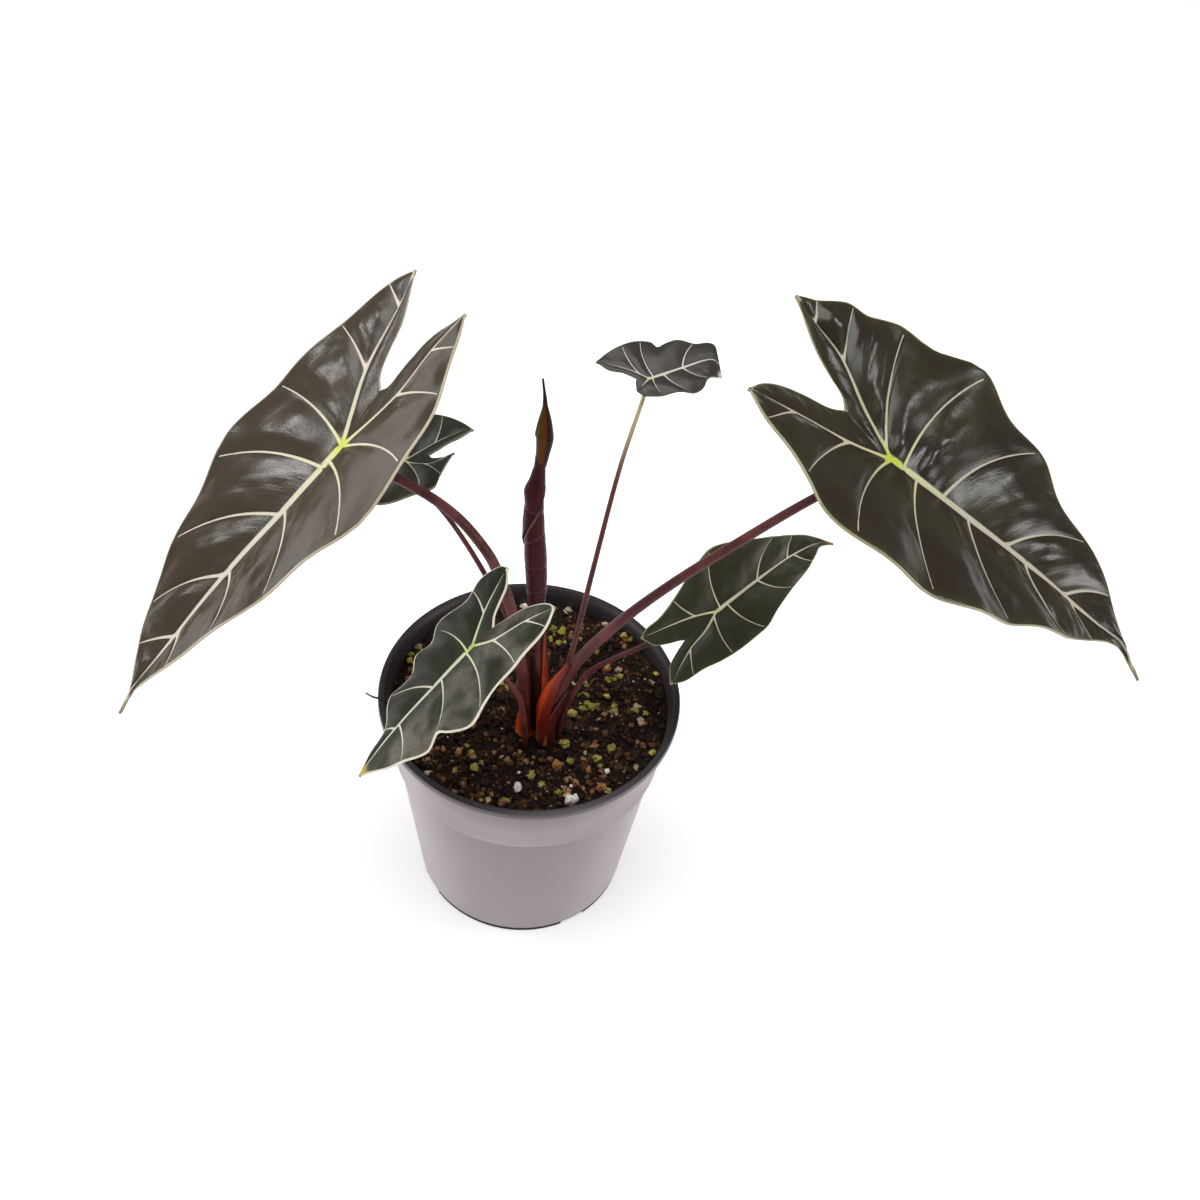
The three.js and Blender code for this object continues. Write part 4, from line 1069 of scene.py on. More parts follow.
def pot_plastic(name, colour, other, roughness, specular, sheen):
    """Smooth plastic with faint upright streaks in its colour and a soft mauve sheen"""
    material, tree, shader, place = new_material(name)
    streaks = noise_of(tree, stretched(tree, place, (1, 1, 0.12)), 120.0, 3.0)
    tint = mottled(tree, place, colour, other, 28.0, 0.15)
    shade = mixed(tree, ramped(tree, streaks, 0.4, 0.75, 0.0, 0.15), tint["Colour"], other)
    set_shader(tree, shader, shade, roughness, Specular_IOR_Level=specular, Sheen_Weight=sheen,
               Sheen_Roughness=0.4, Sheen_Tint=(1.0, 0.88, 0.95, 1.0))
    return material


# Soil

def seeded_fractions(seed):
    """The same even draws as the solid model's soil"""
    state = seed
    while True:
        state = (state * 1664525 + 1013904223) % 4294967296
        yield state / 4294967296


def soil_bumps():
    draw = seeded_fractions(SOIL["seed"])
    reach = POT["band_top_radius"] - POT["wall"]
    bumps = []
    for k in range(SOIL["clod_count"] + SOIL["grain_count"]):
        angle = 2 * math.pi * next(draw)
        distance = reach * math.sqrt(next(draw))
        place = Vector((distance * math.cos(angle), distance * math.sin(angle)))
        size = SOIL["clod_size" if k < SOIL["clod_count"] else "grain_size"]
        radius, rise = [least + spread * next(draw) for least, spread in size]
        bumps.append((place, radius, rise))
    return bumps


def soil_height(bumps, x, y):
    """Height of the soil, as in the solid model, with finer crumbs raised on it"""
    here = Vector((x, y))
    from_stems = (here - Vector(SOIL["stem_centre"])).length
    calm = clamp((from_stems - SOIL["calm_from"]) / SOIL["calm_radius"], SOIL["calm_least"], 1)
    height = 0.0
    for place, radius, rise in bumps:
        near = 1 - (here - place).length_squared / radius ** 2
        if near > 0:
            height = max(height, rise * near) + 0.25 * rise * near
    rolling = SOIL["rolling"] * math.sin(x / 17 + 1) * math.cos(y / 21)
    crumbs = noise.fractal(Vector((x, y, 0)) * SOIL["crumb_scale"], 0.7, 2.1, 5) * SOIL["crumb_relief"]
    clods = min(height, SOIL["most_rise"]) - SOIL["sink"]
    return SOIL["level"] + calm * (rolling + clods) + crumbs


def soil_edge(z):
    """Radius that the soil fills at a height"""
    inner = POT["wall"] + SOIL["wall_gap"]
    return between([
        (0, POT["base_radius"] - inner), (POT["band_bottom_height"] - 1, POT["wall_top_radius"] - inner),
        (POT["band_bottom_height"] + 1, POT["band_bottom_radius"] - inner),
        (SOIL["edge_top"], POT["band_top_radius"] - inner),
    ], z)


def soil_bed(settings):
    """The mix itself: a spun body whose upper face is raised into clods and crumbs"""
    bumps = soil_bumps()
    top = SOIL["level"]
    rings = SOIL["rings"]
    edge = soil_edge(top - 1.5)
    bottom = POT["floor"] + 0.3
    section = [(0, bottom), (soil_edge(bottom) - 0.2, bottom)]
    below_band, above_band = 78.5, 81
    section += [(soil_edge(z) - 0.1, z) for z in (below_band, above_band)]
    section += [(edge * k / rings, top) for k in range(rings, -1, -1)]
    bm = spun(section, SOIL["steps"])
    for vert in bm.verts:
        if vert.co.z > top - 0.01:
            vert.co.z = soil_height(bumps, vert.co.x, vert.co.y)
    bmesh.ops.recalc_face_normals(bm, faces=bm.faces[:])
    finished(bm, "soil_bed", [soil_material(settings)], ["soil"])
    return bumps


def soil_tones(tree, settings, value):
    """Tones of the mix from near black through brown to reddish and tan"""
    ramp = new_node(tree, "ShaderNodeValToRGB", {"Fac": value})
    stops = ramp.color_ramp.elements
    stops[0].position, stops[0].color = 0.0, opaque(settings.dark)
    stops[1].position, stops[1].color = 1.0, opaque(tone("a08060"))
    for position, colour in ((0.42, opaque(tone("2a1a10"))), (0.72, opaque(settings.brown)),
                             (0.9, opaque(tone("74482e")))):
        stop = stops.new(position)
        stop.color = colour
    return ramp.outputs[0]


def soil_material(settings):
    material, tree, shader, place = new_material("potting_mix")
    patches = noise_of(tree, place, 260.0, 6.0, 0.7)
    bits = new_node(tree, "ShaderNodeTexVoronoi", {"Vector": place, "Scale": 520.0})
    value = sum_of(tree, ramped(tree, patches, 0.42, 0.72, 0.0, 0.8),
                   ramped(tree, bits.outputs["Distance"], 0.5, 0.0, 0.05, 0.3))
    rough = noise_of(tree, place, 700.0, 6.0, 0.75)
    wet = ramped(tree, noise_of(tree, place, 90.0), 0.35, 0.65, 0.55, 0.95)
    set_shader(tree, shader, soil_tones(tree, settings, value), wet, rough, 0.9,
               Specular_IOR_Level=0.2)
    return material


def crumb_material(settings):
    material, tree, shader, place = new_material("soil_crumbs")
    own = attribute(tree, "shade")
    value = sum_of(tree, own, ramped(tree, noise_of(tree, place, 900.0, 4.0), 0.3, 0.8, -0.15, 0.2))
    rough = noise_of(tree, place, 1300.0, 5.0, 0.7)
    set_shader(tree, shader, soil_tones(tree, settings, value), ramped(tree, own, 0.0, 1.0, 0.6, 0.9),
               rough, 0.4, Specular_IOR_Level=0.25)
    return material


def granule_material():
    """Granules take their own tone from a colour attribute, with darker pits and pale dust"""
    material, tree, shader, place = new_material("soil_granules")
    own = attribute(tree, "tint", "Color")
    pits = ramped(tree, noise_of(tree, place, 1500.0, 5.0, 0.7), 0.35, 0.62)
    darker = mixed(tree, 0.55, own, tone("4a3a1c"))
    shade = mixed(tree, pits, darker, own)
    dust = ramped(tree, noise_of(tree, place, 520.0, 3.0), 0.55, 0.75, 0.0, 0.5)
    shade = mixed(tree, dust, shade, tone("e6dfc0"))
    set_shader(tree, shader, shade, 0.75, pits, 0.15)
    return material


def perlite_material():
    material, tree, shader, place = new_material("perlite")
    pits = noise_of(tree, place, 1400.0, 5.0, 0.7)
    shade = mixed(tree, ramped(tree, pits, 0.3, 0.55), tone("b9b3a4"), tone("f6f4ee"))
    set_shader(tree, shader, shade, 0.8, pits, 0.3)
    return material


def fibre_material():
    material, tree, shader, place = new_material("root_fibres")
    own = attribute(tree, "shade")
    shade = mixed(tree, own, tone("1c100c"), tone("a0584a"))
    shade = mixed(tree, ramped(tree, noise_of(tree, place, 800.0), 0.4, 0.7, 0.0, 0.5), shade, tone("3a2018"))
    set_shader(tree, shader, shade, 0.7, noise_of(tree, place, 2500.0), 0.05)
    return material


def mark(bm, kind, name, value):
    """Give all corners one value of an attribute"""
    layer = getattr(bm.verts.layers, kind).new(name)
    for vert in bm.verts:
        vert[layer] = value


def add_lump(bm, place, size, draw, detail, dents, shade=None, tint=None):
    """Add a small lump: a ball that is dented, squeezed and turned"""
    part = bmesh.new()
    bmesh.ops.create_icosphere(part, subdivisions=detail, radius=0.5)
    verts = part.verts[:]
    shift = Vector((draw.uniform(0, 50), draw.uniform(0, 50), draw.uniform(0, 50)))
    for vert in verts:
        dent = 1 + dents * (noise.noise(vert.co * 2.4 + shift) + 0.45 * noise.noise(vert.co * 6 + shift))
        vert.co *= dent
    squeeze = (size, size * draw.uniform(0.62, 0.95), size * draw.uniform(0.5, 0.85))
    bmesh.ops.scale(part, vec=squeeze, verts=verts)
    heading = Matrix.Rotation(draw.uniform(0, 6.28), 3, "Z")
    tilt = Matrix.Rotation(draw.uniform(-0.6, 0.6), 3, "X")
    bmesh.ops.rotate(part, verts=verts, matrix=heading @ tilt)
    bmesh.ops.translate(part, verts=verts, vec=place)
    if shade is not None:
        mark(part, "float", "shade", shade)
    if tint is not None:
        mark(part, "float_color", "tint", tint)
    merged(bm, part)


def clear_of_stalks(x, y, gap=2.6):
    feet = [Vector(p["foot"]) for p in PETIOLES] + [Vector(ROLLED["foot"])]
    return all((Vector((x, y)) - foot).length > gap for foot in feet)


def scatter(draw, reach):
    """A random place on the soil that is clear of the stalks"""
    while True:
        angle, distance = draw.uniform(0, 2 * math.pi), reach * math.sqrt(draw.random())
        x, y = distance * math.cos(angle), distance * math.sin(angle)
        if clear_of_stalks(x, y):
            return x, y


def kept_inside(place, size):
    """Move a place on the soil inwards where a lump of this size would go through the pot's wall"""
    reach = soil_edge(SOIL["level"]) - size * 0.6
    return place * min(1, reach / math.hypot(place.x, place.y))


def soil_crumbs(settings, bumps):
    kind = LOOSE["crumbs"]
    draw = random.Random(kind["seed"])
    least, spread, power = kind["size"]
    bm = bmesh.new()
    for _ in range(settings.crumbs):
        size = least + spread * draw.random() ** power
        x, y = scatter(draw, soil_edge(SOIL["loose_level"]) - size / 2)
        z = soil_height(bumps, x, y) + size * 0.12
        # Each crumb's tone is random, and crumbs towards the front are made lighter: painted light, as where
        # more light falls on the front of the soil
        value = draw.random() ** 1.6 + clamp(-y / 50) * 0.12
        detail = 2 if size > kind["fine_over"] else 1
        add_lump(bm, Vector((x, y, z)), size, draw, detail, kind["dents"], shade=value)
    finished(bm, "soil_crumbs", [crumb_material(settings)])


def soil_granules(settings, bumps):
    """Fertiliser and mineral granules: the ones that stand out, then others at random"""
    kind = LOOSE["granules"]
    draw = random.Random(kind["seed"])
    bm = bmesh.new()
    granules = [(picture_to_soil(pixel), size, hue) for pixel, size, hue in SEEN_GRANULES]
    for _ in range(settings.granules):
        x, y = scatter(draw, soil_edge(SOIL["loose_level"]) - 2)
        size = draw.uniform(*kind["size"])
        granules.append((Vector((x, y, 0)), size, draw.choice(list(GRANULE_TONES))))
    for place, size, hue in granules:
        place = kept_inside(place, size)
        colour = Vector(tone(GRANULE_TONES[hue])) * draw.uniform(0.8, 1.5)
        top = soil_height(bumps, place.x, place.y)
        spot = Vector((place.x, place.y, top + size * 0.22))
        detail = 3 if size > kind["fine_over"] else 2
        add_lump(bm, spot, size, draw, detail, kind["dents"], tint=(*colour, 1.0))
    finished(bm, "soil_granules", [granule_material()])


def soil_perlite(bumps):
    kind = LOOSE["perlite"]
    draw = random.Random(kind["seed"])
    least, spread, power = kind["size"]
    bm = bmesh.new()
    specks = [(picture_to_soil(pixel), size) for pixel, size in SEEN_PERLITE]
    for _ in range(kind["count"]):
        x, y = scatter(draw, soil_edge(SOIL["loose_level"]) - 2)
        specks.append((Vector((x, y, 0)), least + spread * draw.random() ** power))
    for place, size in specks:
        place = kept_inside(place, size)
        top = soil_height(bumps, place.x, place.y)
        spot = Vector((place.x, place.y, top + size * 0.25))
        add_lump(bm, spot, size, draw, 3 if size > kind["fine_over"] else 1, kind["dents"])
    finished(bm, "soil_perlite", [perlite_material()])


def soil_fibres(settings, bumps):
    """Thin dark and reddish fibres, and one that hooks over the rim at the left"""
    kind = LOOSE["fibres"]
    draw = random.Random(kind["seed"])
    bm = bmesh.new()

    def add_fibre(points, radius, value):
        part = bmesh.new()
        line = CentreLine(points)
        tube(part, line, lambda distance, angle: radius * (1 - 0.6 * distance / line.length), 10, 5)
        mark(part, "float", "shade", value)
        merged(bm, part)

    for k in range(settings.fibres):
        x, y = scatter(draw, soil_edge(SOIL["loose_level"]) - 4)
        if k < settings.fibres // FIBRE_PATCH["share"]:
            x = FIBRE_PATCH["x"] + draw.uniform(-FIBRE_PATCH["spread"], FIBRE_PATCH["spread"])
            y = draw.uniform(*FIBRE_PATCH["y"])
        heading, length = draw.uniform(0, 6.28), draw.uniform(*kind["length"])
        points = []
        for step in range(4):
            heading += draw.uniform(-0.7, 0.7)
            px = x + math.cos(heading) * length * step / 3
            py = y + math.sin(heading) * length * step / 3
            reach = math.hypot(px, py) / (soil_edge(SOIL["loose_level"]) - 1)
            if reach > 1:
                px, py = px / reach, py / reach
            points.append((px, py, soil_height(bumps, px, py) + draw.uniform(0.2, 1.2)))
        add_fibre(points, draw.uniform(*kind["radius"]), draw.random())
    add_fibre(RIM_FIBRE["path"], RIM_FIBRE["radius"], 0.0)
    finished(bm, "soil_fibres", [fibre_material()])


def rhizome_material():
    material, tree, shader, place = new_material("rhizome_bark")
    rings = noise_of(tree, stretched(tree, place, (1, 1, 6)), 140.0, 5.0, 0.65)
    shade = mixed(tree, ramped(tree, rings, 0.35, 0.7), tone("3c2012"), tone("7a4a2a"))
    set_shader(tree, shader, shade, 0.8, rings, 0.6)
    return material


# Blades

class HalfBlade:
    """One half of a blade: its curves, and where each vein leaves the spine and meets the margin"""

    def __init__(self, leaf, side):
        shape = leaf[side]
        self.sign = 1 if side == "left" else -1
        self.midrib = SmoothLine(leaf["midrib"])
        self.outer = SmoothLine(shape["outer"])
        self.inner = SmoothLine(shape["inner"])
        self.rib = SmoothLine(shape["rib"])
        veins = [(start, self.outer.nearest(end)) for start, end in shape["veins"]]
        self.veins = [start for start, _ in veins]
        self.stations = [(-self.rib.length, self.outer.length), *reversed(veins), (self.midrib.length, 0.0)]

    def row(self, start):
        """The three guide points of the row that leaves the spine at a signed distance"""
        on_midrib = start >= 0
        foot = self.midrib.read(start) if on_midrib else self.rib.read(-start)
        end = self.outer.read(between(self.stations, start))
        share = start / self.midrib.length if on_midrib else -start / self.rib.length
        phase = BOW["at_junction"] + (1 - BOW["at_junction"]) * share
        bow = BOW["midrib"] * math.sin(math.pi * phase) if on_midrib else BOW["side_rib"] * (1 - share)
        way = end - foot
        turned = Vector((-way.y, way.x)) * (self.sign * bow)
        return foot, (foot + end) / 2 + turned, end, share

    def point(self, start, across):
        foot, middle, end, _ = self.row(start)
        return foot * (1 - across) ** 2 + middle * (2 * across * (1 - across)) + end * across ** 2

    def relief(self, leaf, start, across):
        """Swelling between the veins and the waved margin"""
        stations = self.stations
        i = 0
        while i < len(stations) - 2 and start > stations[i + 1][0]:
            i += 1
        part = (start - stations[i][0]) / (stations[i + 1][0] - stations[i][0])
        most = leaf["swell"] * (BLADE["swell_at_ends"] if i in (0, len(stations) - 2) else 1)
        bulge = max(0, math.sin(math.pi * part)) ** 0.8 * math.sin(math.pi * across)
        along = between(stations, start) / self.outer.length
        height, count = leaf["wave"]
        turn = 2 * math.pi * count * along + self.sign
        fade = math.sin(math.pi * clamp(along, 0.02, 0.98))
        return most * bulge + height * fade * across ** 3 * math.sin(turn)


def blade_height(leaf, a, c):
    """The blade's overall fold, bend and drooping parts"""
    crease = BLADE["crease_width"]
    height = leaf["fold"] * (math.hypot(c, crease) - crease) - leaf["bend"] * a * a
    for at, radius, depth in leaf.get("droops", ()):
        reach = max(0.0, 1 - math.hypot(a - at[0], c - at[1]) / radius)
        height -= depth * reach * reach * (3 - 2 * reach)
    return height


def crumpled(finish, a, c):
    """Small sharp folds, where a blade has them"""
    height = 0.0
    for at, radius, depth in finish["crumples"]:
        reach = clamp(1 - math.hypot(a - at[0], c - at[1]) / radius)
        height += depth * reach * (2 * abs(noise.noise(Vector((a, c, 9)) * 0.16)) - 0.4)
    return height


def filled(stops, step):
    """The stops in rising order, with even steps added where they lie far apart"""
    stops = sorted(stops)
    rows = [stops[0]]
    for stop in stops[1:]:
        gap = stop - rows[-1]
        if gap < 0.15:
            continue
        parts = max(1, round(gap / step))
        rows += [rows[-1] + gap * (k + 1) / parts for k in range(parts)]
    return rows


def rib_half_width(finish, share, on_midrib):
    """Half width of the midrib or of a side rib, at a share of its length"""
    if on_midrib:
        return finish["midrib"] * (1 - 0.78 * share ** 0.8)
    return finish["side"] * (1 - 0.7 * share)


def vein_tree(halves, finish):
    """Places along all ribs and veins, each with the half width of the vein there"""
    samples = []
    gap = BLADE["sample_gap"]
    count = BLADE["vein_samples"]

    def add_rib(line, on_midrib):
        for k in range(int(line.length / gap) + 1):
            width = rib_half_width(finish, k * gap / line.length, on_midrib)
            samples.append((line.read(k * gap), width))

    add_rib(halves[0].midrib, True)
    for half in halves:
        add_rib(half.rib, False)
        for start in half.veins:
            for k in range(count):
                across = k / count * 0.95
                width = finish["vein_width"] * (1 - 0.8 * across ** 1.4)
                samples.append((half.point(start, across), width))
    tree = kdtree.KDTree(len(samples))
    for k, (place, _) in enumerate(samples):
        tree.insert((*place, 0), k)
    tree.balance()
    return tree, [width for _, width in samples]


def stops_beside(starts, low, high):
    """Row stops at the starts and close beside them, where they lie between low and high"""
    beside = BLADE["beside_vein"]
    return [0.0] + [start + d for start in starts for d in (0.0, beside, -beside)
                    if low <= start + d <= high]


# Columns of the blade's mesh: the first ones lie on the rib, the others share the way that is left
ON_RIB = 4
OUTER_SHARES = [0.05, 0.11, 0.17, 0.23, 0.29, 0.35, 0.41, 0.47, 0.53, 0.59, 0.65, 0.71, 0.77, 0.83, 0.89,
                0.94, 0.975, 1]
INNER_SHARES = [0.15, 0.32, 0.5, 0.66, 0.8, 0.92, 1]


def across_at(column, shares, rib_width, length):
    """How far across a column stands, as a share of its row's length"""
    rib_share = min(1.35 * rib_width / max(length, 0.01), 0.32)
    if column <= ON_RIB:
        return rib_share * column / ON_RIB
    return rib_share + (1 - rib_share) * shares[column - ON_RIB - 1]


def rib_profile(across, rib_width, length):
    """Height of the rib's round back at a place across the row, as a share of its full height"""
    x = clamp(across * length / (1.3 * rib_width))
    return (1 - x * x) ** 2


def leaf_matrix(leaf):
    heading, pitch, roll = (math.radians(turn) for turn in leaf["turns"])
    turned = Matrix.Rotation(heading, 4, "Z") @ Matrix.Rotation(pitch, 4, "Y")
    return Matrix.Translation(leaf["junction"]) @ (turned @ Matrix.Rotation(roll, 4, "X"))


class Sheet:
    """A blade's sheet while it is made: its mesh, its corners' attributes and its veins"""

    def __init__(self, leaf, finish):
        self.leaf, self.finish = leaf, finish
        self.halves = [HalfBlade(leaf, "left"), HalfBlade(leaf, "right")]
        self.tree, self.widths = vein_tree(self.halves, finish)
        self.bm = bmesh.new()
        self.lift = self.bm.verts.layers.float_vector.new("lift")
        self.spot = self.bm.verts.layers.float_vector.new("blade_place")
        self.vein = self.bm.verts.layers.float.new("vein")
        self.margin = self.bm.verts.layers.float.new("margin")
        self.rib = self.bm.verts.layers.float.new("rib")

    def corner(self, vert, place, height, to_margin, rib_height):
        """Put a corner in its place on the leaf and give it its attributes"""
        a, c = place
        _, k, distance = self.tree.find((a, c, 0))
        vert[self.vein] = min(distance / self.widths[k], 6)
        vert[self.margin] = to_margin
        vert[self.rib] = rib_height
        vert[self.spot] = (a, c, 0)
        pucker = noise.fractal(Vector((a, c, 3.0)) * 0.16, 1.0, 2.0, 3) * self.finish["pucker"]
        pucker += crumpled(self.finish, a, c)
        open_lamina = clamp((distance - self.widths[k]) / 3) * clamp(to_margin / 3)
        vert.co = Vector((a, c, height + blade_height(self.leaf, a, c) + pucker * open_lamina))

    def rib_size(self, share, on_midrib):
        """Half width and height of a rib at a share of its length"""
        most = (1 if self.leaf["large"] else BLADE["small_share"]) * BLADE["rib_height"]
        return rib_half_width(self.finish, share, on_midrib), most * (1 - BLADE["rib_taper"] * share)

    def grid(self, rows, shares, row_length, width_at, side):
        """A flat grid whose columns stand as across_at says; gives each corner's row and share"""

        def across(row, column):
            return across_at(column, shares, width_at(row), row_length(row))

        def flow(row, column):
            return rows[row] / 100, side * across(row, column) * row_length(row) / 100

        columns = ON_RIB + len(shares) + 1
        cells = mapped_grid(self.bm, len(rows), columns, lambda row, column: (0, 0, 0), flow)
        return {vert: (row, column, across(row, column)) for vert, (row, column) in cells.items()}

    def add_outer(self, half, rows):
        """The rows from the ribs to the outer margin of one half"""
        lengths, shares = [], []
        for start in rows:
            foot, middle, end, share = half.row(start)
            lengths.append((middle - foot).length + (end - middle).length)
            shares.append(share)

        def width_at(row):
            return self.rib_size(shares[row], rows[row] >= 0)[0]

        cells = self.grid(rows, OUTER_SHARES, lambda row: lengths[row], width_at, 1)
        for vert, (row, column, across) in cells.items():
            start = rows[row]
            height = half.relief(self.leaf, start, across) if column else 0
            wrinkle = noise.noise(Vector((start * 0.28, across * 2, half.sign))) * self.finish["wrinkle"]
            height += wrinkle * math.sin(math.pi * across)
            width, full = self.rib_size(shares[row], start >= 0)
            rib_height = full * rib_profile(across, width, lengths[row])
            if min(abs(start - vein) for vein in half.veins) < 0.01:
                rib_height = max(rib_height, full * BLADE["vein_share"] * (1 - across))
            self.corner(vert, half.point(start, across), height, (1 - across) * lengths[row], rib_height)
        faced_up(self.bm, cells)

    def add_inner(self, half, rows):
        """The rows from the side rib to the inner margin, beside the sinus"""
        spans = []
        for start in rows:
            to = half.inner.read(-start * half.inner.length / half.rib.length)
            spans.append((half.rib.read(-start), to))

        def length_at(row):
            return (spans[row][1] - spans[row][0]).length

        def size_at(row):
            return self.rib_size(-rows[row] / half.rib.length, False)

        cells = self.grid(rows, INNER_SHARES, length_at, lambda row: size_at(row)[0], -1)
        for vert, (row, column, across) in cells.items():
            foot, end = spans[row]
            width, full = size_at(row)
            height = BLADE["swell_inside"] * self.leaf["swell"] * math.sin(math.pi * across)
            self.corner(vert, foot + (end - foot) * across, height if column else 0,
                        (1 - across) * length_at(row), full * rib_profile(across, width, length_at(row)))
        faced_up(self.bm, cells)


def blade_mesh(leaf, finish, step):
    """The blade's sheet with its ribs, veins and puckers, thickened and put in its place"""
    sheet = Sheet(leaf, finish)
    bm, rib = sheet.bm, sheet.rib
    reach = sheet.halves[0].midrib.length
    starts = [start for half in sheet.halves for start in half.veins + [reach] if start >= 0]
    midrib_rows = filled(stops_beside(starts, 0, reach), step)
    for half in sheet.halves:
        starts = [start for start in half.veins + [-half.rib.length] if start < 0]
        rib_rows = filled(stops_beside(starts, -half.rib.length, 0), step)
        sheet.add_outer(half, rib_rows[:-1] + midrib_rows)
        sheet.add_inner(half, rib_rows)
    bmesh.ops.remove_doubles(bm, verts=bm.verts[:], dist=SHEET_MERGE)
    half_thick = BLADE["thickness"] / 2
    upper = thickened(bm, sheet.lift, lambda v: half_thick + v[rib] * BLADE["rib_on_top"],
                      lambda v: half_thick + v[rib])
    for face in bm.faces:
        face.material_index = 0 if any(vert in upper for vert in face.verts) else 1
    bmesh.ops.transform(bm, matrix=leaf_matrix(leaf), verts=bm.verts[:])
    return bm


def blade_masks(tree, finish):
    """Masks that both faces of a blade use: veins, margin, junction and tip"""
    vein = ramped(tree, attribute(tree, "vein"), 0.75, 1.2, 1.0, 0.0)
    width = finish["margin_width"]
    margin = ramped(tree, attribute(tree, "margin"), width * 0.6, width * 1.4, 1.0, 0.0)
    place = attribute(tree, "blade_place", "Vector")
    from_junction = new_node(tree, "ShaderNodeVectorMath", {0: place}, operation="LENGTH").outputs["Value"]
    return vein, margin, place, from_junction


def blade_top_material(leaf, finish):
    material, tree, shader, place = new_material("blade_top_" + leaf["name"])
    vein, margin, spot, from_junction = blade_masks(tree, finish)
    tip = leaf["midrib"][-1]
    to_tip = new_node(tree, "ShaderNodeVectorMath", {0: spot, 1: (*tip, 0)}, operation="DISTANCE")
    lamina = mottled(tree, place, tone(finish["lamina"]), tone(finish["edge"]), 55.0, 0.35)
    shade = mixed(tree, ramped(tree, attribute(tree, "margin"), 0.0, 4.0, 0.7, 0.0), lamina["Colour"],
                  tone(finish["edge"]))
    # Painted sheen: pale grey speckled patches on the blade's left half, standing in for the granular
    # reflection there
    if finish.get("silver"):
        side = new_node(tree, "ShaderNodeSeparateXYZ", {0: spot}).outputs[1]
        painted_sheen_speckle = ramped(tree, noise_of(tree, place, 2800.0, 2.0), 0.3, 0.7, 0.15, finish["silver"])
        patches = ramped(tree, noise_of(tree, place, 75.0, 2.0), 0.4, 0.62)
        part = product_of(tree, product_of(tree, painted_sheen_speckle, patches), ramped(tree, side, 0.5, 6.0))
        shade = mixed(tree, part, shade, tone("857f76"))
    # Painted shade: the lamina is darkened close beside the veins, for the shade in the hollows that the
    # sunken veins run in
    painted_vein_shade = ramped(tree, attribute(tree, "vein"), 1.0, 3.2, 0.3, 0.0)
    shade = mixed(tree, painted_vein_shade, shade, tone("16150f"))
    reach = finish["near_reach"]
    near = ramped(tree, from_junction, 2.0, reach, 1.0, 0.0)
    nearest = ramped(tree, from_junction, 1.2, reach * 0.2, 1.0, 0.0)
    vein_tone = mixed(tree, near, tone(finish["vein"]), tone(finish["near"]))
    vein_tone = mixed(tree, nearest, vein_tone, tone(finish["junction"]))
    shade = mixed(tree, vein, shade, vein_tone)
    shade = mixed(tree, margin, shade, tone(finish["margin"]))
    reach = finish["tip_reach"]
    at_tip = ramped(tree, to_tip.outputs["Value"], reach * 0.35, reach, 0.9, 0.0)
    shade = mixed(tree, at_tip, shade, tone(finish["tip"]))
    flow = surface_way(tree)
    streaks = noise_of(tree, stretched(tree, flow, (90, 9, 1)), 1.0, 4.0, 0.6)
    grain = grain_of(tree, place, 1400.0, finish["grain"])
    relief = sum_of(tree, grain, product_of(tree, streaks, 1.1))
    rough = finish["roughness"]
    gloss = ramped(tree, lamina["Pattern"], 0.0, 1.4, rough - 0.02, rough + 0.05)
    gloss = sum_of(tree, gloss, product_of(tree, vein, 0.18))
    set_shader(tree, shader, shade, gloss, relief, 0.06, Specular_IOR_Level=finish["specular"])
    return material


def blade_under_material(leaf, finish, settings):
    material, tree, shader, place = new_material("blade_under_" + leaf["name"])
    vein, margin, _, from_junction = blade_masks(tree, finish)
    lamina = mottled(tree, place, settings.under, tone("5c2f33"), 70.0, 0.5)
    shade = mixed(tree, vein, lamina["Colour"], settings.under_vein)
    shade = mixed(tree, margin, shade, tone("8a6a58"))
    shade = mixed(tree, ramped(tree, from_junction, 2.0, 8.0, 0.7, 0.0), shade, tone("6e3a34"))
    set_shader(tree, shader, shade, 0.5, grain_of(tree, place, 1200.0, 0.5), 0.05)
    return material


# Stalks

def stalk_line(foot, path, end_place=None, end_normal=None):
    points = [(*foot, STALK_FOOT), (*foot, SOIL["level"]), *path]
    if end_place:
        points.append(end_place)
    return CentreLine(points, Vector((0, 0, 1)), end_normal)


def stalk_radius(line, radii):
    at_foot, half_way, at_end = radii
    table = [(0, at_foot), (line.length / 2, half_way), (line.length, at_end)]
    return lambda distance, angle=0: between(table, distance)


def petiole_parts(petiole):
    leaf = next(leaf for leaf in LEAVES if leaf["name"] == petiole["leaf"])
    matrix = leaf_matrix(leaf)
    normal = matrix.to_3x3().col[2].normalized()
    junction = Vector(leaf["junction"])
    approach = junction - normal * BLADE["approach"]
    end = junction - normal * (BLADE["thickness"] / 2)
    line = stalk_line(petiole["foot"], petiole["path"] + [tuple(approach)], tuple(end), normal)
    return line, stalk_radius(line, petiole["radii"])


def rolled_stalk_parts():
    line = stalk_line(ROLLED["foot"], ROLLED["stalk_path"], None, Vector((0, 0, 1)))
    return line, stalk_radius(line, ROLLED["stalk_radii"])


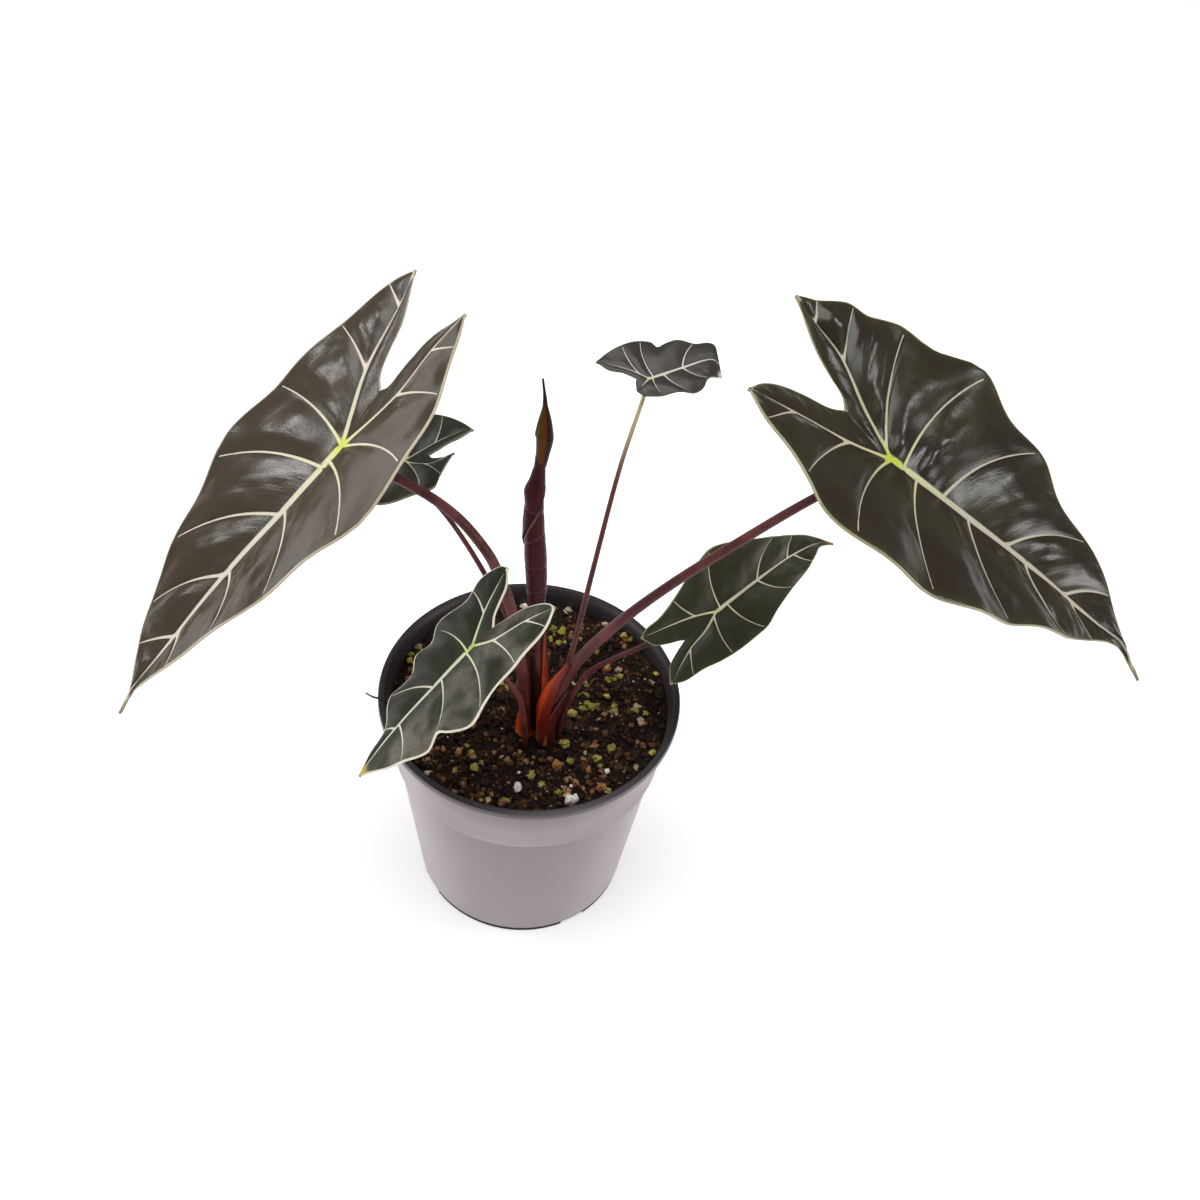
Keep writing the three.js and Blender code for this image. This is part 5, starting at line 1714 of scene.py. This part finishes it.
def stalk_material(name, settings, pale_from=None):
    """Maroon skin with fine lengthwise lines; some stalks turn pale under their blade"""
    material, tree, shader, place = new_material(name)
    flow = surface_way(tree)
    along = new_node(tree, "ShaderNodeSeparateXYZ", {0: flow}).outputs[0]
    skin = mottled(tree, place, settings.maroon, tone("6e3d3a"), 90.0, 0.5)["Colour"]
    shade = mixed(tree, ramped(tree, along, 0.0, 0.3, 0.85, 0.0), skin, settings.foot)
    if pale_from:
        shade = mixed(tree, ramped(tree, along, pale_from, 1.0), shade, settings.pale)
    lines = noise_of(tree, stretched(tree, flow, (3, 60, 1)), 1.0, 4.0, 0.6)
    shade = mixed(tree, ramped(tree, lines, 0.5, 0.75, 0.0, 0.3), shade, tone("8a5a55"))
    set_shader(tree, shader, shade, ramped(tree, lines, 0.3, 0.7, 0.34, 0.5), lines, 0.08,
               Specular_IOR_Level=0.22)
    return material


def rolled_material(settings):
    """Maroon wraps with pale edges, and an olive brown hood near the top with a dark side"""
    material, tree, shader, place = new_material("rolled_leaf")
    flow = surface_way(tree)
    along = new_node(tree, "ShaderNodeSeparateXYZ", {0: flow}).outputs[0]
    skin = mottled(tree, place, settings.maroon, settings.red, 110.0, 0.7)["Colour"]
    edge = attribute(tree, "edge")
    shade = mixed(tree, ramped(tree, edge, 0.0, 0.05, 0.75, 0.0), skin, tone("a8746c"))
    # Painted shade: a near-black band along the wrap's free edge, for the dark crease where it steps down
    # onto the wrap below
    shade = mixed(tree, ramped(tree, edge, 1.0, 0.86, 0.8, 0.0), shade, tone("1c080c"))
    # Painted highlight: pale lines along the cross folds, where the fold ridges catch the light
    shade = mixed(tree, ramped(tree, attribute(tree, "fold"), 0.3, 0.9, 0.0, 0.24), shade, tone("6e444e"))
    hood = attribute(tree, "hood")
    side = attribute(tree, "side")
    opening = mixed(tree, ramped(tree, side, -0.75, -0.1), tone("443c02"), settings.hood)
    opening = mixed(tree, ramped(tree, side, 0.15, 0.5), opening, tone("1c0e0c"))
    shade = mixed(tree, ramped(tree, hood, 0.2, 0.8), shade, opening)
    shade = mixed(tree, ramped(tree, along, 0.9, 0.95), shade, tone("23201e"))
    lines = noise_of(tree, stretched(tree, flow, (4, 40, 1)), 1.0, 3.0)
    set_shader(tree, shader, shade, 0.32, lines, 0.06, Specular_IOR_Level=0.1)
    return material


def sheath_material(name, bright, dark, foot):
    """Papery skin, bright along its left edge, streaked along the stalk, with a paler foot"""
    material, tree, shader, place = new_material(name)
    flow = surface_way(tree)
    ways = new_node(tree, "ShaderNodeSeparateXYZ", {0: flow}).outputs
    streaks = noise_of(tree, stretched(tree, flow, (2.5, 14, 1)), 1.0, 4.0, 0.6)
    across = sum_of(tree, ways[1], product_of(tree, streaks, 0.5))
    shade = mixed(tree, ramped(tree, across, 0.35, 0.85), bright, dark)
    shade = mixed(tree, ramped(tree, noise_of(tree, place, 160.0), 0.5, 0.75, 0.0, 0.6), shade, dark)
    shade = mixed(tree, ramped(tree, ways[0], 0.5, 1.0, 0.0, 0.7), shade, dark)
    shade = mixed(tree, ramped(tree, ways[0], 0.0, 0.2, 0.7, 0.0), shade, foot)
    set_shader(tree, shader, shade, 0.34, streaks, 0.15, Specular_IOR_Level=0.3, Subsurface_Weight=0.15,
               Subsurface_Scale=0.002)
    return material


def rolled_leaf_mesh():
    """The rolled blade: its free edge winds round it as a step, and veins show as rings"""
    line = CentreLine(ROLLED["path"], Vector((0, 0, 1)))
    steps, sides = ROLLED["steps"], ROLLED["sides"]

    def turn_at(up, angle):
        return (angle / (2 * math.pi) - ROLLED["wrap_turns"] * up) % 1

    def fold_at(up, angle):
        """How near a height is to one of the leaf's cross folds"""
        reach = ROLLED["fold_reach"]
        return max(math.exp(-((up - at - tilt * math.sin(angle)) / reach) ** 2)
                   for at, tilt in ROLLED["folds"])

    def radius_at(distance, angle):
        up = distance / line.length
        body = between(ROLLED["radii"], up)
        wrapped = 1 + ROLLED["wrap_step"] * (turn_at(up, angle) - 0.5) * min(1, 4 * up, 12 * (1 - up))
        phase = 2 * math.pi * ROLLED["ring_count"] * up + angle
        rings = ROLLED["ring_depth"] * math.cos(phase) ** 8 + ROLLED["fold_depth"] * fold_at(up, angle)
        middle, reach, height = ROLLED["bulge"]
        bulge = height * clamp(1 - abs(up - middle) / reach) * max(0, -math.sin(angle)) ** 2
        return body * wrapped * (1 - rings) + bulge

    bm = bmesh.new()
    edge = bm.verts.layers.float.new("edge")
    hood = bm.verts.layers.float.new("hood")
    side = bm.verts.layers.float.new("side")
    fold = bm.verts.layers.float.new("fold")

    for vert, (row, column) in rolled_up(bm, line, radius_at, steps, sides).items():
        up, angle = row / steps, 2 * math.pi * column / sides
        hood_low, hood_high = ROLLED["hood_span"]
        opened = clamp((up - hood_low - 0.03 * abs(math.sin(angle))) / 0.015)
        vert[side] = math.sin(angle)
        vert[edge] = turn_at(up, angle) if up < ROLLED["wrap_end"] else 0.5
        vert[hood] = opened * clamp((hood_high - up) / 0.03)
        vert[fold] = fold_at(up, angle)
    closed(bm)
    return bm


def sheath_mesh(sheath, line, radius_at):
    """A thin shell that hugs the stalk on one side and narrows to a torn upper end"""
    rows, columns = 61, 25
    from_soil = SOIL["level"] - STALK_FOOT
    start, stop = (height + from_soil for height in sheath["span"])
    bm = bmesh.new()
    lift = bm.verts.layers.float_vector.new("lift")

    def place(row, column):
        up, across = row / (rows - 1), column / (columns - 1) - 0.5
        tear = 0.06 * noise.noise(Vector((across * 9, start, 1))) * up
        distance = start + (stop - start) * clamp(up + tear)
        spread = sheath["spread"] * (1 - SHEATH["narrowing"] * up ** 1.6)
        angle = math.radians(sheath["angle"] + spread * across)
        flare = SHEATH["flare"] * (1 - up) * (2 * abs(across)) ** 4
        flare += sheath["wing"] * math.sin(math.pi * (1 - up) ** 1.6) ** 0.8 * max(0, -2 * across) ** 3
        ripple = 0.12 * noise.noise(Vector((across * 6, distance * 0.12, start)))
        reach = radius_at(distance) + SHEATH["clearance"] + SHEATH["thickness"] / 2 + flare + ripple
        return line.around(distance, angle, reach)

    mapped_grid(bm, rows, columns, place)
    bmesh.ops.recalc_face_normals(bm, faces=bm.faces[:])
    half = SHEATH["thickness"] / 2
    thickened(bm, lift, lambda v: half, lambda v: half)
    return bm


# Operators

class AROID_OT_stage(bpy.types.Operator):
    """Make the pale floor, the soft lights, the surround and the camera"""
    bl_idname = "aroid.stage"
    bl_label = "Stage"

    def execute(self, context):
        settings = context.scene.aroid.stage
        make_camera()
        bm = bmesh.new()
        bmesh.ops.create_grid(bm, x_segments=8, y_segments=8, size=1.7)
        mesh = bpy.data.meshes.new("floor")
        bm.to_mesh(mesh)
        bm.free()
        mesh.materials.append(floor_material(settings.floor, settings.glow))
        floor = bpy.data.objects.new("floor", mesh)
        context.scene.collection.objects.link(floor)
        for light_plan in LIGHTS:
            make_light(light_plan, getattr(settings, light_plan["setting"]))
        make_surround(settings)
        context.scene.view_settings.view_transform = "Standard"
        return {"FINISHED"}


class AROID_OT_pot(bpy.types.Operator):
    """Make the nursery pot with its raised band, lip and drain notches"""
    bl_idname = "aroid.pot"
    bl_label = "Pot"

    def execute(self, context):
        settings = context.scene.aroid.pot
        outside, inside = pot_profile()
        bm = spun(outside + inside, settings.steps)
        bmesh.ops.recalc_face_normals(bm, faces=bm.faces[:])
        for face in bm.faces:
            middle = face.calc_center_median()
            inner = face.normal.xy.dot(middle.xy) < 0 or face.normal.z > 0.5
            face.material_index = 1 if inner and middle.z > POT["floor"] - 0.1 else 0
            # Faces below the foot line get the near-black third material: painted shade under the foot's
            # chamfer
            if middle.z < POT["foot_line"]:
                face.material_index = 2
        materials = [
            pot_plastic("pot_outside", settings.outside, tone("3c2834"), 0.28, 0.8, 0.7),
            pot_plastic("pot_inside", settings.inside, tone("342d2e"), 0.45, 0.5, 0.1),
            # Near-black painted shade for the band at the foot
            pot_plastic("pot_foot", tone("151113"), tone("1d181a"), 0.7, 0.1, 0.0),
        ]
        pot = finished(bm, "pot_shell", materials, ["pot"])
        cut_notches(pot)
        return {"FINISHED"}


class AROID_OT_soil(bpy.types.Operator):
    """Make the potting mix with its crumbs, granules, perlite and fibres"""
    bl_idname = "aroid.soil"
    bl_label = "Soil"

    def execute(self, context):
        settings = context.scene.aroid.soil
        bumps = soil_bed(settings)
        soil_crumbs(settings, bumps)
        soil_granules(settings, bumps)
        soil_perlite(bumps)
        soil_fibres(settings, bumps)
        return {"FINISHED"}


class AROID_OT_rhizome(bpy.types.Operator):
    """Give the rhizome in the soil its bark"""
    bl_idname = "aroid.rhizome"
    bl_label = "Rhizome"

    def execute(self, context):
        rhizome = bpy.data.objects["rhizome"]
        rhizome.data.materials.clear()
        rhizome.data.materials.append(rhizome_material())
        return {"FINISHED"}


class AROID_OT_stalks(bpy.types.Operator):
    """Make the six leaf stalks and the stalk of the rolled leaf"""
    bl_idname = "aroid.stalks"
    bl_label = "Stalks"

    def execute(self, context):
        settings = context.scene.aroid.stalks
        plain = stalk_material("stalk_skin", settings)
        fading = stalk_material("stalk_skin_pale_end", settings, 0.72)
        parts = [(petiole["leaf"], *petiole_parts(petiole)) for petiole in PETIOLES]
        parts.append(("furled", *rolled_stalk_parts()))
        for leaf, line, radius_at in parts:
            bm = bmesh.new()
            tube(bm, line, radius_at, round(line.length / STALK_STEP), STALK_SIDES)
            skin = fading if leaf == "back_centre_small" else plain
            finished(bm, "stalk_" + leaf, [skin], ["petiole_" + leaf])
        return {"FINISHED"}


class AROID_OT_blades(bpy.types.Operator):
    """Make the six open blades with their veins, waved margins and undersides"""
    bl_idname = "aroid.blades"
    bl_label = "Blades"

    def execute(self, context):
        settings = context.scene.aroid.blades
        for leaf in LEAVES:
            finish = FINISHES[leaf["name"]]
            step = settings.step / MM * (1 if leaf["large"] else BLADE["small_share"])
            bm = blade_mesh(leaf, finish, step)
            materials = [blade_top_material(leaf, finish), blade_under_material(leaf, finish, settings)]
            finished(bm, "leaf_" + leaf["name"], materials, ["blade_" + leaf["name"]])
        return {"FINISHED"}


class AROID_OT_rolled_leaf(bpy.types.Operator):
    """Make the rolled new leaf"""
    bl_idname = "aroid.rolled_leaf"
    bl_label = "Rolled leaf"

    def execute(self, context):
        settings = context.scene.aroid.rolled
        finished(rolled_leaf_mesh(), "rolled_leaf", [rolled_material(settings)],
                 ["furled_leaf"])
        return {"FINISHED"}


class AROID_OT_sheaths(bpy.types.Operator):
    """Make the dry sheaths and the dark wraps at the foot of the stalks"""
    bl_idname = "aroid.sheaths"
    bl_label = "Sheaths"

    def execute(self, context):
        settings = context.scene.aroid.stalks
        dry = sheath_material("dry_sheath", settings.sheath, tone("6a1808"), tone("b07a3c"))
        wrap = sheath_material("stalk_wrap", tone("5e1c18"), tone("2c0e0e"), tone("4e2012"))
        lines = {petiole["leaf"]: petiole_parts(petiole) for petiole in PETIOLES}
        lines["furled"] = rolled_stalk_parts()
        for sheath in SHEATHS:
            line, radius_at = lines[sheath["of"]]
            bm = sheath_mesh(sheath, line, radius_at)
            finished(bm, "dry_" + sheath["name"], [dry], [sheath["name"]])
        for sheath in WRAPS:
            line, radius_at = lines[sheath["of"]]
            finished(sheath_mesh(sheath, line, radius_at), "wrap_" + sheath["name"], [wrap])
        return {"FINISHED"}


class AROID_PT_panel(bpy.types.Panel):
    """Sidebar panel with the plant's parts and settings"""
    bl_idname = "AROID_PT_panel"
    bl_label = "Potted aroid"
    bl_space_type = "VIEW_3D"
    bl_region_type = "UI"
    bl_category = "Aroid"

    def draw(self, context):
        settings = context.scene.aroid
        for part in AroidSettings.__annotations__:
            group = getattr(settings, part)
            for name in group.__annotations__:
                self.layout.prop(group, name)
        for operator in OPERATORS:
            self.layout.operator(operator.bl_idname)


SETTINGS = (StageSettings, PotSettings, SoilSettings, StalkSettings, BladeSettings, RolledSettings,
            AroidSettings)
OPERATORS = (AROID_OT_stage, AROID_OT_pot, AROID_OT_soil, AROID_OT_rhizome, AROID_OT_stalks,
             AROID_OT_blades, AROID_OT_rolled_leaf, AROID_OT_sheaths)


def register():
    for cls in (*SETTINGS, *OPERATORS, AROID_PT_panel):
        bpy.utils.register_class(cls)
    bpy.types.Scene.aroid = PointerProperty(type=AroidSettings)


def unregister():
    del bpy.types.Scene.aroid
    for cls in reversed((*SETTINGS, *OPERATORS, AROID_PT_panel)):
        bpy.utils.unregister_class(cls)


def main():
    register()
    bpy.ops.aroid.stage()
    bpy.ops.aroid.pot()
    bpy.ops.aroid.soil()
    bpy.ops.aroid.rhizome()
    bpy.ops.aroid.stalks()
    bpy.ops.aroid.blades()
    bpy.ops.aroid.rolled_leaf()
    bpy.ops.aroid.sheaths()


if __name__ == "__main__":
    main()
